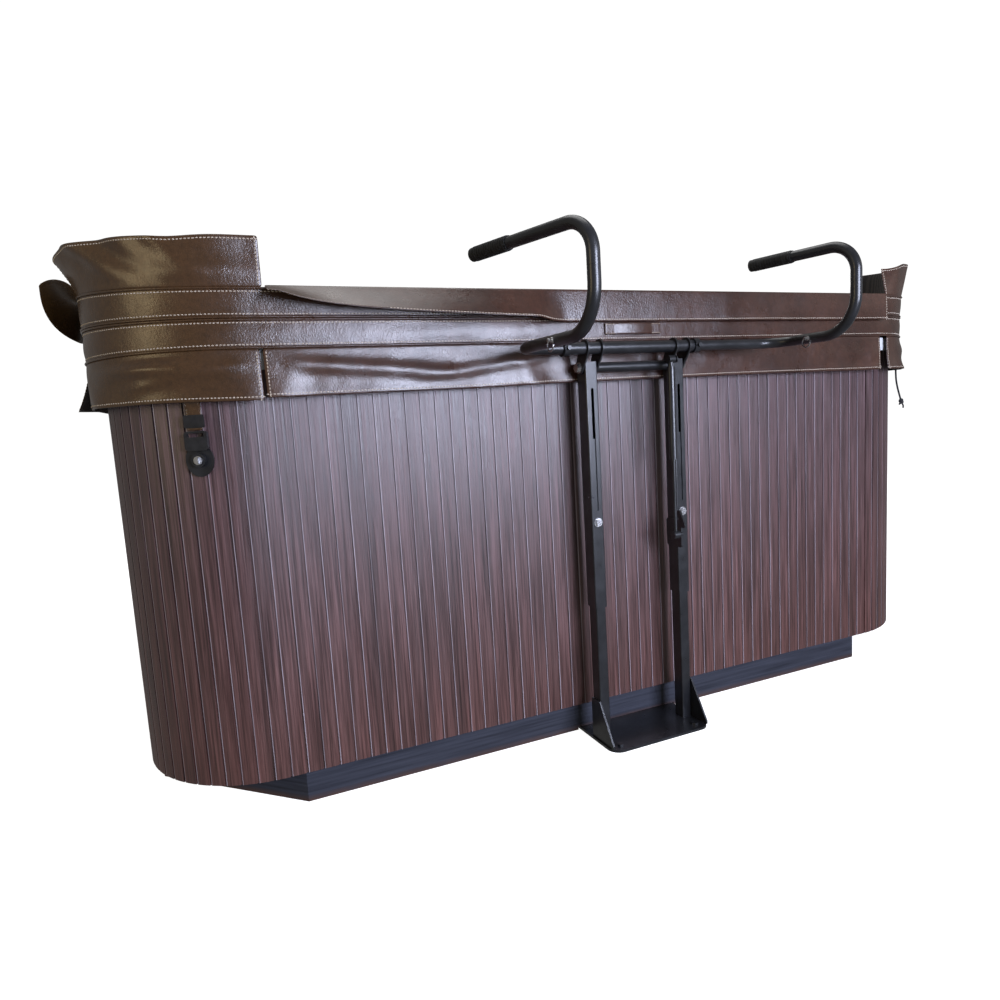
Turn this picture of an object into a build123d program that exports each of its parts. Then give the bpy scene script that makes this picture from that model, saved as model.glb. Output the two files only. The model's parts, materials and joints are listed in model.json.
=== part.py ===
from build123d import *
from math import atan2, cos, degrees, radians, sin
import os

# Square spa with a two-piece cover folded onto its near half, and a cradle cover lifter in front of it.
# Millimetres. The origin is the centre of the tub's footprint on the floor. +Z is up, +X is to the right of
# someone who faces the lifter, and +Y points from the lifter across the tub.

# ---------------------------------------------------------------- driving dimensions
TUB_WIDTH = 2144
TUB_HEIGHT = 912
HALF = TUB_WIDTH / 2
CABINET_RADIUS = 264
PLINTH_HEIGHT = 70
PLINTH_HALF = 1056
PLINTH_CHAMFER = 278
BOARD = 38
PAN_THICKNESS = 6
PAN_INSET = 14
JOIST_SPACING = 350
JOIST_COUNT = 5
TONGUE_WIDTH = 280
TONGUE_DEPTH = 140
TONGUE_RELIEF = 6.5
STUD_SPACING = 520
STUD_INSET = 32
RAIL_Z = 812
RAIL_INSET = 26

PANEL_THICKNESS = 12
PANEL_TOP = 898
FLUTE_COUNT = 50
CORNER_FLUTES = 13
FLUTE_WIDTH = 4
FLUTE_DEPTH = 2.5

SHELL_THICKNESS = 8
RIM_HALF = 1088
RIM_RADIUS = 280
RIM_WIDTH = 48
RIM_DROP = 36
DECK_HALF = RIM_HALF - RIM_WIDTH + 2
DECK_TOP = 896
BASIN_HALF = 930
BASIN_RADIUS = 260
SEAT_Z = 500
BUCKET_Z = 450
BUCKET_RADIUS = 200
WELL_HALF = 520
WELL_RADIUS = 200
WELL_Z = 130
FILTER_XY = 916
FILTER_RADIUS = 66
FILTER_CLEARANCE = 12

COVER_HALF = 1100
COVER_RADIUS = 292
COVER_BOTTOM = 914
COVER_EDGE = 53
COVER_MIDDLE = 102
COVER_GAP = 4
HINGE_Z = COVER_BOTTOM + COVER_MIDDLE + 1
SKIRT_DROP = 91
COVER_FILLET = 5
SKIRT_THICKNESS = 3
SLIT_WIDTH = 5
RIGHT_SLIT_HALF = 16
PIECE_GAP = 3
SLIT_LEFT = -790
SLIT_RIGHT = 846
SLIT_SIDE = -790
SIDE_FLOP = 105
FLAP_LEFT = -772
FLAP_RIGHT = 846
FLAP_DROP = 60

NEAR = -HALF
POST_X = 115
PIVOT_Y = NEAR - 55
PIVOT_Z = 855
SLEEVE_WIDTH = 30
SLEEVE_DEPTH = 37
SLEEVE_WALL = 2.2
SLEEVE_BOTTOM = 320
BAR_Y = NEAR - 80
BAR_Z = 895
BAR_OUTER = 26.6
BAR_INNER = 24
BAR_LEFT = -190
BAR_RIGHT = 165
LEG_OUTER = 23.5
LEG_INNER = 19.9
SPIGOT_OUTER = 19.5
SPIGOT_INNER = 16
SOCKET_Z = 1000
CANE_Z = 1080
GAS_X = 80
GAS_STUD_Y = PIVOT_Y - 38
GAS_STUD_Z = PIVOT_Z + 10
GAS_FOOT_Z = 465

FOLD_ANGLE = 180 + 2 * degrees(atan2(COVER_MIDDLE - COVER_EDGE, COVER_HALF))
HINGE_AXIS = Axis((0, 0, HINGE_Z), (1, 0, 0))

os.makedirs("parts", exist_ok=True)


def save(part, label):
    """Labels a finished piece and writes it as the node of that name."""
    part.label = label
    export_step(part, f"parts/{label}.step")
    return part


# ---------------------------------------------------------------- plinth, pan and frame
def octagon(half, corner):
    """Square plan with 45 degree corners."""
    with BuildSketch() as plan:
        Rectangle(2 * half, 2 * half)
        chamfer(plan.vertices(), corner)
    return plan.sketch


with BuildPart() as plinth:
    with BuildSketch() as ring:
        add(octagon(PLINTH_HALF, PLINTH_CHAMFER))
        add(octagon(PLINTH_HALF - BOARD, PLINTH_CHAMFER - BOARD * (2 - 2**0.5)), mode=Mode.SUBTRACT)
    extrude(amount=PLINTH_HEIGHT)
    with BuildSketch() as joists:
        with GridLocations(JOIST_SPACING, 0, JOIST_COUNT, 1):
            Rectangle(BOARD, 2 * (PLINTH_HALF - BOARD) + 1)
    extrude(amount=PLINTH_HEIGHT)
    with BuildSketch() as tongue_relief:
        with Locations((0, NEAR + TONGUE_DEPTH / 2)):
            Rectangle(TONGUE_WIDTH, TONGUE_DEPTH)
    extrude(amount=TONGUE_RELIEF, mode=Mode.SUBTRACT)
save(plinth.part, "plinth")

with BuildPart() as base_pan:
    with BuildSketch(Plane.XY.offset(PLINTH_HEIGHT)):
        RectangleRounded(2 * (HALF - PAN_INSET), 2 * (HALF - PAN_INSET), CABINET_RADIUS - PAN_INSET)
    extrude(amount=PAN_THICKNESS)
save(base_pan.part, "base_pan")

with BuildPart() as cabinet_frame:
    for turn in range(4):
        post_floor = Plane.XY.offset(PLINTH_HEIGHT + PAN_THICKNESS).rotated((0, 0, 90 * turn))
        with BuildSketch(post_floor):
            with Locations((0, HALF - STUD_INSET)):
                with GridLocations(STUD_SPACING, 0, 4, 1):
                    Rectangle(BOARD, BOARD)
        extrude(amount=TUB_HEIGHT - RIM_DROP - PLINTH_HEIGHT - PAN_THICKNESS)
    with BuildSketch(Plane.XY.offset(RAIL_Z)):
        outer = HALF - RAIL_INSET
        RectangleRounded(2 * outer, 2 * outer, CABINET_RADIUS - RAIL_INSET)
        inner = outer - BOARD
        RectangleRounded(2 * inner, 2 * inner, CABINET_RADIUS - RAIL_INSET - BOARD, mode=Mode.SUBTRACT)
        with Locations((FILTER_XY, FILTER_XY)):
            Circle(FILTER_RADIUS + FILTER_CLEARANCE, mode=Mode.SUBTRACT)
    extrude(amount=BOARD)
save(cabinet_frame.part, "cabinet_frame")

# ---------------------------------------------------------------- cabinet panels
STRAIGHT = 2 * (HALF - CABINET_RADIUS)
PANEL_HEIGHT = PANEL_TOP - PLINTH_HEIGHT
CONDUIT_X = 600
CONDUIT_Z = 130
CONDUIT_RADIUS = 17
DRAIN_X = -600
DRAIN_RADIUS = 13.2
DRAIN_LENGTH = 20
DRAIN_WALL = 1.2
DRAIN_REACH = 100
PANEL_GAP = 0.4


def side_panel(turn):
    """Straight grooved panel; turn counts quarter turns from the near side."""
    with BuildPart() as panel:
        with BuildSketch(Plane.XY.offset(PLINTH_HEIGHT).rotated((0, 0, 90 * turn))):
            with Locations((0, NEAR + PANEL_THICKNESS / 2)):
                Rectangle(STRAIGHT - PANEL_GAP, PANEL_THICKNESS)
            with Locations((0, NEAR)):
                with GridLocations(STRAIGHT / FLUTE_COUNT, 0, FLUTE_COUNT + 1, 1):
                    Rectangle(FLUTE_WIDTH, 2 * FLUTE_DEPTH, mode=Mode.SUBTRACT)
        extrude(amount=PANEL_HEIGHT)
    return panel.part


save(side_panel(0), "panel_front")
save(side_panel(1), "panel_right")
save(side_panel(3), "panel_left")

with BuildPart() as panel_back:
    add(side_panel(2))
    with BuildSketch(Plane(origin=(0, HALF, 0), x_dir=(1, 0, 0), z_dir=(0, -1, 0))):
        with Locations((CONDUIT_X, CONDUIT_Z)):
            Circle(CONDUIT_RADIUS)
        with Locations((DRAIN_X, CONDUIT_Z)):
            Circle(DRAIN_RADIUS + 1)
    extrude(amount=2 * PANEL_THICKNESS, mode=Mode.SUBTRACT)
save(panel_back.part, "panel_back")

with BuildPart() as corner_panels:
    for turn in range(4):
        with BuildSketch(Plane.XY.offset(PLINTH_HEIGHT).rotated((0, 0, 90 * turn))):
            with Locations((HALF - CABINET_RADIUS, CABINET_RADIUS - HALF)):
                Circle(CABINET_RADIUS)
                Circle(CABINET_RADIUS - PANEL_THICKNESS, mode=Mode.SUBTRACT)
                Rectangle(CABINET_RADIUS, CABINET_RADIUS, align=(Align.MIN, Align.MAX), mode=Mode.INTERSECT)
                with PolarLocations(CABINET_RADIUS, CORNER_FLUTES + 1, -90, 90, endpoint=True):
                    Rectangle(2 * FLUTE_DEPTH, FLUTE_WIDTH, mode=Mode.SUBTRACT)
        extrude(amount=PANEL_HEIGHT)
save(corner_panels.part, "corner_panels")

# ---------------------------------------------------------------- shell
JET_Z = 700
JET_ROWS = 140
JET_COLUMNS = 420
CONTROL_X = 985
PANEL_Y = 640
DIVERTER_Y = 330
AIR_Y = 190
KNOB_SHAFT = 10
KNOB_GAP = 0.4
SUCTION_Z = 290
SUCTION_RADIUS = 62
SUCTION_HEIGHT = 10
SEAT_FILLET = 70
BUCKET_FLOOR = BUCKET_RADIUS - 40
BUCKET_FILLET = 30
WELL_FILLET = 60
RIM_FILLET = 6
RIM_WALL = 12
RIM_SHELF = 20
JET_BORE = 22
JET_FACE = 38
JET_FACE_HEIGHT = 5
JET_BODY = 21.8
JET_BODY_LENGTH = 35
JET_RECESS = 12
JET_RECESS_DEPTH = 3
JET_THROAT = 9
JET_THROAT_LENGTH = 30
TOPSIDE_WIDTH = 90
TOPSIDE_LENGTH = 190
TOPSIDE_LIP = 7
TOPSIDE_HEIGHT = 6


def basin_form(grow, top):
    """The bathing space grown by a wall thickness: seats, bucket corners and foot well, up to top."""
    with BuildPart() as form:
        with BuildSketch(Plane.XY.offset(SEAT_Z - grow)):
            RectangleRounded(2 * (BASIN_HALF + grow), 2 * (BASIN_HALF + grow), BASIN_RADIUS + grow)
        extrude(amount=top - SEAT_Z + grow)
        seat_edges = form.edges().filter_by(Plane.XY).group_by(Axis.Z)[0]
        fillet(seat_edges, SEAT_FILLET + grow)
        with BuildSketch(Plane.XY.offset(BUCKET_Z - grow)):
            with GridLocations(2 * (BASIN_HALF - BASIN_RADIUS), 2 * (BASIN_HALF - BASIN_RADIUS), 2, 2):
                Circle(BUCKET_FLOOR + grow)
        extrude(amount=SEAT_Z - BUCKET_Z)
        fillet(form.edges().filter_by(GeomType.CIRCLE).group_by(Axis.Z)[0], BUCKET_FILLET + grow)
        with BuildSketch(Plane.XY.offset(WELL_Z - grow)):
            RectangleRounded(2 * (WELL_HALF + grow), 2 * (WELL_HALF + grow), WELL_RADIUS + grow)
        extrude(amount=SEAT_Z - WELL_Z)
        fillet(form.edges().filter_by(Plane.XY).group_by(Axis.Z)[0], WELL_FILLET + grow)
    return form.part


def wall_plane(turn):
    """Plane on a basin wall, facing the water."""
    angle = radians(90 * turn)
    wall = (BASIN_HALF * cos(angle), BASIN_HALF * sin(angle), JET_Z)
    return Plane(origin=wall, x_dir=(-sin(angle), cos(angle), 0), z_dir=(-cos(angle), -sin(angle), 0))


def ring_prism(base, height, half, radius, width):
    """Rounded square ring, as a solid."""
    with BuildPart() as ring:
        with BuildSketch(Plane.XY.offset(base)):
            RectangleRounded(2 * half, 2 * half, radius)
            RectangleRounded(2 * (half - width), 2 * (half - width), radius - width, mode=Mode.SUBTRACT)
        extrude(amount=height)
    return ring.part


with BuildPart() as shell:
    add(ring_prism(TUB_HEIGHT - RIM_DROP, RIM_DROP, RIM_HALF, RIM_RADIUS, RIM_WIDTH))
    fillet(shell.edges().filter_by(Plane.XY).group_by(Axis.Z)[-1], RIM_FILLET)
    rim_hollow = RIM_DROP - SHELL_THICKNESS
    add(
        ring_prism(
            TUB_HEIGHT - RIM_DROP,
            rim_hollow,
            RIM_HALF - RIM_WALL,
            RIM_RADIUS - RIM_WALL,
            RIM_WIDTH - RIM_SHELF,
        ),
        mode=Mode.SUBTRACT,
    )
    with BuildSketch(Plane.XY.offset(DECK_TOP - SHELL_THICKNESS)):
        RectangleRounded(2 * DECK_HALF, 2 * DECK_HALF, RIM_RADIUS - RIM_WIDTH + 2)
    extrude(amount=SHELL_THICKNESS)
    add(basin_form(SHELL_THICKNESS, DECK_TOP - 1))
    add(basin_form(0, TUB_HEIGHT), mode=Mode.SUBTRACT)
    for turn in range(4):
        with BuildSketch(wall_plane(turn)):
            with GridLocations(JET_COLUMNS, JET_ROWS, 3, 2):
                Circle(JET_BORE)
        extrude(amount=-2 * SHELL_THICKNESS, mode=Mode.SUBTRACT)
    with BuildSketch(Plane.XY.offset(DECK_TOP)):
        with Locations((FILTER_XY, FILTER_XY)):
            Circle(FILTER_RADIUS)
        with Locations((CONTROL_X, PANEL_Y)):
            RectangleRounded(TOPSIDE_WIDTH, TOPSIDE_LENGTH, 12)
        with Locations((CONTROL_X, DIVERTER_Y), (CONTROL_X, AIR_Y)):
            Circle(KNOB_SHAFT + KNOB_GAP)
    extrude(amount=-2 * SHELL_THICKNESS, mode=Mode.SUBTRACT)
save(shell.part, "shell")

with BuildPart() as jets:
    for turn in range(4):
        with BuildSketch(wall_plane(turn)):
            with GridLocations(JET_COLUMNS, JET_ROWS, 3, 2):
                Circle(JET_FACE)
        extrude(amount=JET_FACE_HEIGHT)
    chamfer(jets.faces().filter_by(GeomType.CYLINDER).edges().filter_by(GeomType.CIRCLE), 1)
    for turn in range(4):
        with BuildSketch(wall_plane(turn)):
            with GridLocations(JET_COLUMNS, JET_ROWS, 3, 2):
                Circle(JET_BODY)
        extrude(amount=-JET_BODY_LENGTH)
        with BuildSketch(wall_plane(turn).offset(JET_FACE_HEIGHT)):
            with GridLocations(JET_COLUMNS, JET_ROWS, 3, 2):
                Circle(JET_RECESS)
                with PolarLocations(28, 10):
                    Circle(2.5)
        extrude(amount=-JET_RECESS_DEPTH, mode=Mode.SUBTRACT)
        with BuildSketch(wall_plane(turn).offset(JET_RECESS_DEPTH)):
            with GridLocations(JET_COLUMNS, JET_ROWS, 3, 2):
                Circle(JET_THROAT)
        extrude(amount=-JET_THROAT_LENGTH, mode=Mode.SUBTRACT)
save(jets.part, "jets")

with BuildPart() as suction_covers:
    for side in (-1, 1):
        well_wall = Plane(origin=(side * WELL_HALF, 0, SUCTION_Z), x_dir=(0, 1, 0), z_dir=(-side, 0, 0))
        with BuildSketch(well_wall):
            Circle(SUCTION_RADIUS)
        extrude(amount=SUCTION_HEIGHT)
        with BuildSketch(well_wall.offset(SUCTION_HEIGHT)):
            with GridLocations(0, 14, 1, 6):
                SlotOverall(76, 6)
        extrude(amount=-6, mode=Mode.SUBTRACT)
save(suction_covers.part, "suction_covers")

with BuildPart() as topside_panel:
    with BuildSketch(Plane.XY.offset(DECK_TOP)):
        with Locations((CONTROL_X, PANEL_Y)):
            RectangleRounded(TOPSIDE_WIDTH + 2 * TOPSIDE_LIP, TOPSIDE_LENGTH + 16, 18)
    extrude(amount=TOPSIDE_HEIGHT)
    fillet(topside_panel.edges().group_by(Axis.Z)[-1], 3)
    with BuildSketch(Plane.XY.offset(DECK_TOP)):
        with Locations((CONTROL_X, PANEL_Y)):
            RectangleRounded(TOPSIDE_WIDTH - 2, TOPSIDE_LENGTH - 2, 11)
    extrude(amount=-26)
    with BuildSketch(Plane.XY.offset(DECK_TOP + TOPSIDE_HEIGHT)):
        with Locations((CONTROL_X, PANEL_Y + 20)):
            RectangleRounded(56, 90, 6)
        with Locations((CONTROL_X, PANEL_Y - 62)):
            with GridLocations(36, 32, 2, 2):
                Circle(11)
    extrude(amount=-1, mode=Mode.SUBTRACT)
save(topside_panel.part, "topside_panel")


KNOB_LIFT = 0.5
KNOB_HEIGHT = 6
GRIP_WIDTH = 16
GRIP_HEIGHT = 8


def deck_knob(position, radius, label):
    """Turning knob with a grip bar, its shaft through the deck."""
    with BuildPart() as knob:
        with BuildSketch(Plane.XY.offset(DECK_TOP + KNOB_LIFT)):
            with Locations(position):
                Circle(radius)
        extrude(amount=KNOB_HEIGHT)
        with BuildSketch(Plane.XY.offset(DECK_TOP + KNOB_LIFT + KNOB_HEIGHT)):
            with Locations(position):
                SlotOverall(2 * radius - 4, GRIP_WIDTH)
        extrude(amount=GRIP_HEIGHT)
        fillet(knob.edges().group_by(Axis.Z)[-1], 2)
        with BuildSketch(Plane.XY.offset(DECK_TOP + KNOB_LIFT)):
            with Locations(position):
                Circle(KNOB_SHAFT)
        extrude(amount=-30)
    save(knob.part, label)


deck_knob((CONTROL_X, DIVERTER_Y), 36, "diverter_knob")
deck_knob((CONTROL_X, AIR_Y), 24, "air_knob")

CANISTER_BOTTOM = 620
CANISTER_FLOOR = 6
CARTRIDGE_BOTTOM = 630
CARTRIDGE_CAP = 10
CARTRIDGE_LENGTH = 220
CARTRIDGE_RADIUS = 50
CARTRIDGE_BORE = 22
PLEATS = 36
LID_GAP = 0.3
LID_HEIGHT = 6

with BuildPart() as filter_canister:
    with BuildSketch(Plane.XY.offset(DECK_TOP - SHELL_THICKNESS)):
        with Locations((FILTER_XY, FILTER_XY)):
            Circle(FILTER_RADIUS + 6)
    extrude(amount=-4)
    with BuildSketch(Plane.XY.offset(CANISTER_BOTTOM)):
        with Locations((FILTER_XY, FILTER_XY)):
            Circle(FILTER_RADIUS + 2)
    extrude(amount=DECK_TOP - SHELL_THICKNESS - CANISTER_BOTTOM - 2)
    with BuildSketch(Plane.XY.offset(CANISTER_BOTTOM + CANISTER_FLOOR)):
        with Locations((FILTER_XY, FILTER_XY)):
            Circle(FILTER_RADIUS - 2)
    extrude(amount=TUB_HEIGHT - CANISTER_BOTTOM, mode=Mode.SUBTRACT)
save(filter_canister.part, "filter_canister")

with BuildPart() as filter_cartridge:
    pleats_from = CARTRIDGE_BOTTOM + CARTRIDGE_CAP
    with BuildSketch(Plane.XY.offset(pleats_from)):
        with Locations((FILTER_XY, FILTER_XY)):
            Circle(CARTRIDGE_RADIUS)
            with PolarLocations(CARTRIDGE_RADIUS, PLEATS):
                Circle(2.6)
            Circle(CARTRIDGE_BORE, mode=Mode.SUBTRACT)
    extrude(amount=CARTRIDGE_LENGTH)
    with BuildSketch(Plane.XY.offset(CARTRIDGE_BOTTOM), Plane.XY.offset(pleats_from + CARTRIDGE_LENGTH)):
        with Locations((FILTER_XY, FILTER_XY)):
            Circle(CARTRIDGE_RADIUS + 5)
            Circle(CARTRIDGE_BORE, mode=Mode.SUBTRACT)
    extrude(amount=CARTRIDGE_CAP)
save(filter_cartridge.part, "filter_cartridge")

with BuildPart() as filter_lid:
    with BuildSketch(Plane.XY.offset(DECK_TOP + LID_GAP)):
        with Locations((FILTER_XY, FILTER_XY)):
            Circle(FILTER_RADIUS + 8)
    extrude(amount=LID_HEIGHT)
    fillet(filter_lid.edges().group_by(Axis.Z)[-1], 3)
    with BuildSketch(Plane.XY.offset(DECK_TOP + LID_GAP)):
        with Locations((FILTER_XY, FILTER_XY)):
            Circle(FILTER_RADIUS - 3)
            Circle(FILTER_RADIUS - 7, mode=Mode.SUBTRACT)
    extrude(amount=-18)
    with BuildSketch(Plane.XY.offset(DECK_TOP + LID_GAP + LID_HEIGHT)):
        with Locations((FILTER_XY, FILTER_XY)):
            SlotOverall(90, 14)
    extrude(amount=7)
save(filter_lid.part, "filter_lid")

# ---------------------------------------------------------------- equipment behind the near panel
PUMP_Y = -800
PUMP_Z = 182
FLOOR_Z = PLINTH_HEIGHT + PAN_THICKNESS
HEATER_Z = 340
MANIFOLD_Z = 560
DUCT_Y = 985
PIPE_DIAMETER = 48
PACK_X = 360
PACK_Y = -900
PACK_WIDTH = 300
PACK_DEPTH = 110
PACK_HEIGHT = 200
MOTOR_RADIUS = 80
MOTOR_START = -420
MOTOR_LENGTH = 290
VOLUTE_RADIUS = 96
VOLUTE_LENGTH = 90
OUTLET_RADIUS = 26
HEATER_RADIUS = 30
HEATER_START = 130
HEATER_LENGTH = 380
UNION_RADIUS = 44
UNION_LENGTH = 28
PIPE_END = 0.5
OUTLET_X = 10
RISER_X = 600
MANIFOLD_RADIUS = 20
MANIFOLD_BEND = 210

with BuildPart() as pump:
    with BuildSketch(Plane.YZ.offset(MOTOR_START)):
        with Locations((PUMP_Y, PUMP_Z)):
            Circle(MOTOR_RADIUS)
    extrude(amount=MOTOR_LENGTH)
    fillet(pump.edges().group_by(Axis.X)[0], 18)
    with BuildSketch(Plane.YZ.offset(MOTOR_START + MOTOR_LENGTH)):
        with Locations((PUMP_Y, PUMP_Z)):
            Circle(VOLUTE_RADIUS)
    extrude(amount=VOLUTE_LENGTH)
    fillet(pump.edges().group_by(Axis.X)[-1], 14)
    with BuildSketch(Plane.XY.offset(FLOOR_Z)):
        with Locations((-275, PUMP_Y)):
            Rectangle(220, 130)
    extrude(amount=40)
    with BuildSketch(Plane.YZ.offset(-60)):
        with Locations((PUMP_Y, PUMP_Z)):
            Circle(OUTLET_RADIUS)
    extrude(amount=70)
save(pump.part, "pump")

with BuildPart() as spa_pack:
    with BuildSketch(Plane.YZ.offset(HEATER_START)):
        with Locations((PUMP_Y, HEATER_Z)):
            Circle(HEATER_RADIUS)
    extrude(amount=HEATER_LENGTH)
    far_union = Plane.YZ.offset(HEATER_START + HEATER_LENGTH - UNION_LENGTH)
    with BuildSketch(Plane.YZ.offset(HEATER_START), far_union):
        with Locations((PUMP_Y, HEATER_Z)):
            RegularPolygon(UNION_RADIUS, 8)
    extrude(amount=UNION_LENGTH)
    with BuildSketch(Plane.XY.offset(FLOOR_Z)):
        with Locations((PACK_X, PACK_Y)):
            RectangleRounded(PACK_WIDTH, PACK_DEPTH, 10)
    extrude(amount=PACK_HEIGHT)
    front_y = PACK_Y - PACK_DEPTH / 2
    box_front = Plane(origin=(PACK_X, front_y, FLOOR_Z + PACK_HEIGHT / 2), x_dir=(1, 0, 0), z_dir=(0, -1, 0))
    with BuildSketch(box_front):
        with GridLocations(PACK_WIDTH - 30, PACK_HEIGHT - 30, 2, 2):
            Circle(5)
    extrude(amount=3)
    with BuildSketch(Plane.XY.offset(FLOOR_Z + PACK_HEIGHT - 1)):
        with Locations((PACK_X, PUMP_Y - 48)):
            Rectangle(60, 90)
    extrude(amount=HEATER_Z - FLOOR_Z - PACK_HEIGHT - 20)
    with BuildSketch(Plane.XY.offset(FLOOR_Z + PACK_HEIGHT - 1)):
        with Locations((PACK_X, PUMP_Y)):
            Rectangle(60, 60)
    extrude(amount=HEATER_Z - FLOOR_Z - PACK_HEIGHT)
save(spa_pack.part, "spa_pack")


def pipe_run(points, bend, outer):
    """Pipe of round section through points, with rounded corners."""
    with BuildPart() as pipe:
        with BuildLine() as route:
            FilletPolyline(*points, radius=bend)
        with BuildSketch(Plane(origin=route.wire() @ 0, z_dir=route.wire() % 0)):
            Circle(outer / 2)
        sweep()
    return pipe.part


with BuildPart() as manifold:
    with BuildLine() as loop:
        FilletPolyline(
            (DUCT_Y, -DUCT_Y, MANIFOLD_Z),
            (DUCT_Y, DUCT_Y, MANIFOLD_Z),
            (-DUCT_Y, DUCT_Y, MANIFOLD_Z),
            (-DUCT_Y, -DUCT_Y, MANIFOLD_Z),
            radius=MANIFOLD_BEND,
            close=True,
        )
    with BuildSketch(Plane(origin=loop.wire() @ 0, z_dir=loop.wire() % 0)):
        Circle(MANIFOLD_RADIUS)
    sweep()

with BuildPart() as plumbing:
    add(
        pipe_run(
            [
                (OUTLET_X + PIPE_END, PUMP_Y, PUMP_Z),
                (70, PUMP_Y, PUMP_Z),
                (70, PUMP_Y, HEATER_Z),
                (HEATER_START - PIPE_END, PUMP_Y, HEATER_Z),
            ],
            40,
            PIPE_DIAMETER,
        )
    )
    add(
        pipe_run(
            [
                (HEATER_START + HEATER_LENGTH + PIPE_END, PUMP_Y, HEATER_Z),
                (RISER_X, PUMP_Y, HEATER_Z),
                (RISER_X, -DUCT_Y, HEATER_Z),
                (RISER_X, -DUCT_Y, MANIFOLD_Z - MANIFOLD_RADIUS - 1),
            ],
            45,
            PIPE_DIAMETER,
        )
    )
    add(pipe_run([(-85, PUMP_Y, 279), (-85, PUMP_Y, 360), (-85, -545, 360)], 40, PIPE_DIAMETER))
    add(manifold.part)
    drain_face = Plane(origin=(DRAIN_X, HALF, CONDUIT_Z), x_dir=(1, 0, 0), z_dir=(0, -1, 0))
    with BuildSketch(drain_face.offset(-DRAIN_LENGTH)):
        Circle(DRAIN_RADIUS)
    extrude(amount=DRAIN_LENGTH)
    with BuildSketch(drain_face):
        Circle(DRAIN_RADIUS - DRAIN_WALL)
    extrude(amount=DRAIN_REACH)
save(plumbing.part, "plumbing")

# ---------------------------------------------------------------- cover
def cover_half():
    """The near half of the closed cover: flat below, sloping up to the hinge line, round near corners."""
    with BuildPart() as half:
        with BuildSketch(Plane.XY.offset(COVER_BOTTOM)) as plan:
            with Locations((0, -COVER_GAP)):
                Rectangle(2 * COVER_HALF, COVER_HALF - COVER_GAP, align=(Align.CENTER, Align.MAX))
            fillet(plan.vertices().group_by(Axis.Y)[0], COVER_RADIUS)
        extrude(amount=2 * COVER_MIDDLE)
        with BuildSketch(Plane.YZ):
            with BuildLine():
                Polyline(
                    (-COVER_HALF - 1, COVER_BOTTOM),
                    (-COVER_HALF - 1, COVER_BOTTOM + COVER_EDGE),
                    (0, COVER_BOTTOM + COVER_MIDDLE),
                    (0, COVER_BOTTOM),
                    close=True,
                )
            make_face()
        extrude(amount=COVER_HALF, both=True, mode=Mode.INTERSECT)
        fillet(half.faces().sort_by(Axis.Z)[-1].edges(), COVER_FILLET)
    return half.part


def skirt_half():
    """The skirt round the near half of the closed cover, as one strip."""
    with BuildPart() as strip:
        with BuildSketch(Plane.XY.offset(COVER_BOTTOM)) as plan:
            RectangleRounded(2 * COVER_HALF, 2 * COVER_HALF, COVER_RADIUS)
            offset(amount=-SKIRT_THICKNESS, mode=Mode.SUBTRACT)
            with Locations((0, -COVER_GAP)):
                Rectangle(2 * COVER_HALF, COVER_HALF, align=(Align.CENTER, Align.MAX), mode=Mode.INTERSECT)
        extrude(amount=-SKIRT_DROP)
    return strip.part


def cut_strip(strip, low_x, high_x, low_y=-COVER_HALF, high_y=0):
    """The part of a skirt strip inside a rectangle seen from above."""
    with BuildPart() as piece:
        add(strip)
        with BuildSketch(Plane.XY.offset(COVER_BOTTOM - SKIRT_DROP)):
            with Locations(((low_x + high_x) / 2, (low_y + high_y) / 2)):
                Rectangle(high_x - low_x, high_y - low_y)
        extrude(amount=SKIRT_DROP, mode=Mode.INTERSECT)
    return piece.part


def fold_over(part):
    """Turns a near half into the far half and folds it back over the near half."""
    return part.mirror(Plane.XZ).rotate(HINGE_AXIS, FOLD_ANGLE)


save(cover_half(), "cover_lower")
save(fold_over(cover_half()), "cover_upper")

with BuildPart() as lower_skirt:
    add(cut_strip(skirt_half(), -COVER_HALF, SLIT_LEFT))
    add(cut_strip(skirt_half(), SLIT_LEFT + SLIT_WIDTH, SLIT_RIGHT - RIGHT_SLIT_HALF))
    add(cut_strip(skirt_half(), SLIT_RIGHT + RIGHT_SLIT_HALF, COVER_HALF))
save(lower_skirt.part, "lower_skirt")
CORNER_Y = SLIT_SIDE - PIECE_GAP
left_corner = cut_strip(skirt_half(), -COVER_HALF, FLAP_LEFT - PIECE_GAP, high_y=CORNER_Y)
save(fold_over(left_corner), "upper_skirt_left")
right_corner = cut_strip(skirt_half(), FLAP_RIGHT + PIECE_GAP, COVER_HALF, high_y=CORNER_Y)
save(fold_over(right_corner), "upper_skirt_right")


def side_flap(side):
    """The side strip of the folded half, flopped outward from its seam; side is -1 left, 1 right."""
    seam = Axis((side * COVER_HALF, 0, COVER_BOTTOM), (0, -side, 0))
    low_x, high_x = sorted((0, side * COVER_HALF))
    strip = cut_strip(skirt_half(), low_x, high_x, low_y=SLIT_SIDE + PIECE_GAP)
    return fold_over(strip.rotate(seam, SIDE_FLOP))


save(side_flap(-1), "left_side_flap")
save(side_flap(1), "right_side_flap")

FOLD = radians(FOLD_ANGLE)
SEW_Y = COVER_HALF * cos(FOLD) + (HINGE_Z - COVER_BOTTOM) * sin(FOLD)
SEW_Z = HINGE_Z + COVER_HALF * sin(FOLD) - (HINGE_Z - COVER_BOTTOM) * cos(FOLD)
FLAP_GAP = 0.6
FLAP_STAND = 3
with BuildPart() as upper_flap:
    with BuildSketch(Plane.XY.offset(SEW_Z - FLAP_GAP)):
        with Locations(((FLAP_LEFT + FLAP_RIGHT) / 2, SEW_Y - FLAP_STAND)):
            Rectangle(FLAP_RIGHT - FLAP_LEFT, SKIRT_THICKNESS)
    extrude(amount=-FLAP_DROP)
save(upper_flap.part, "upper_flap")

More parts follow.
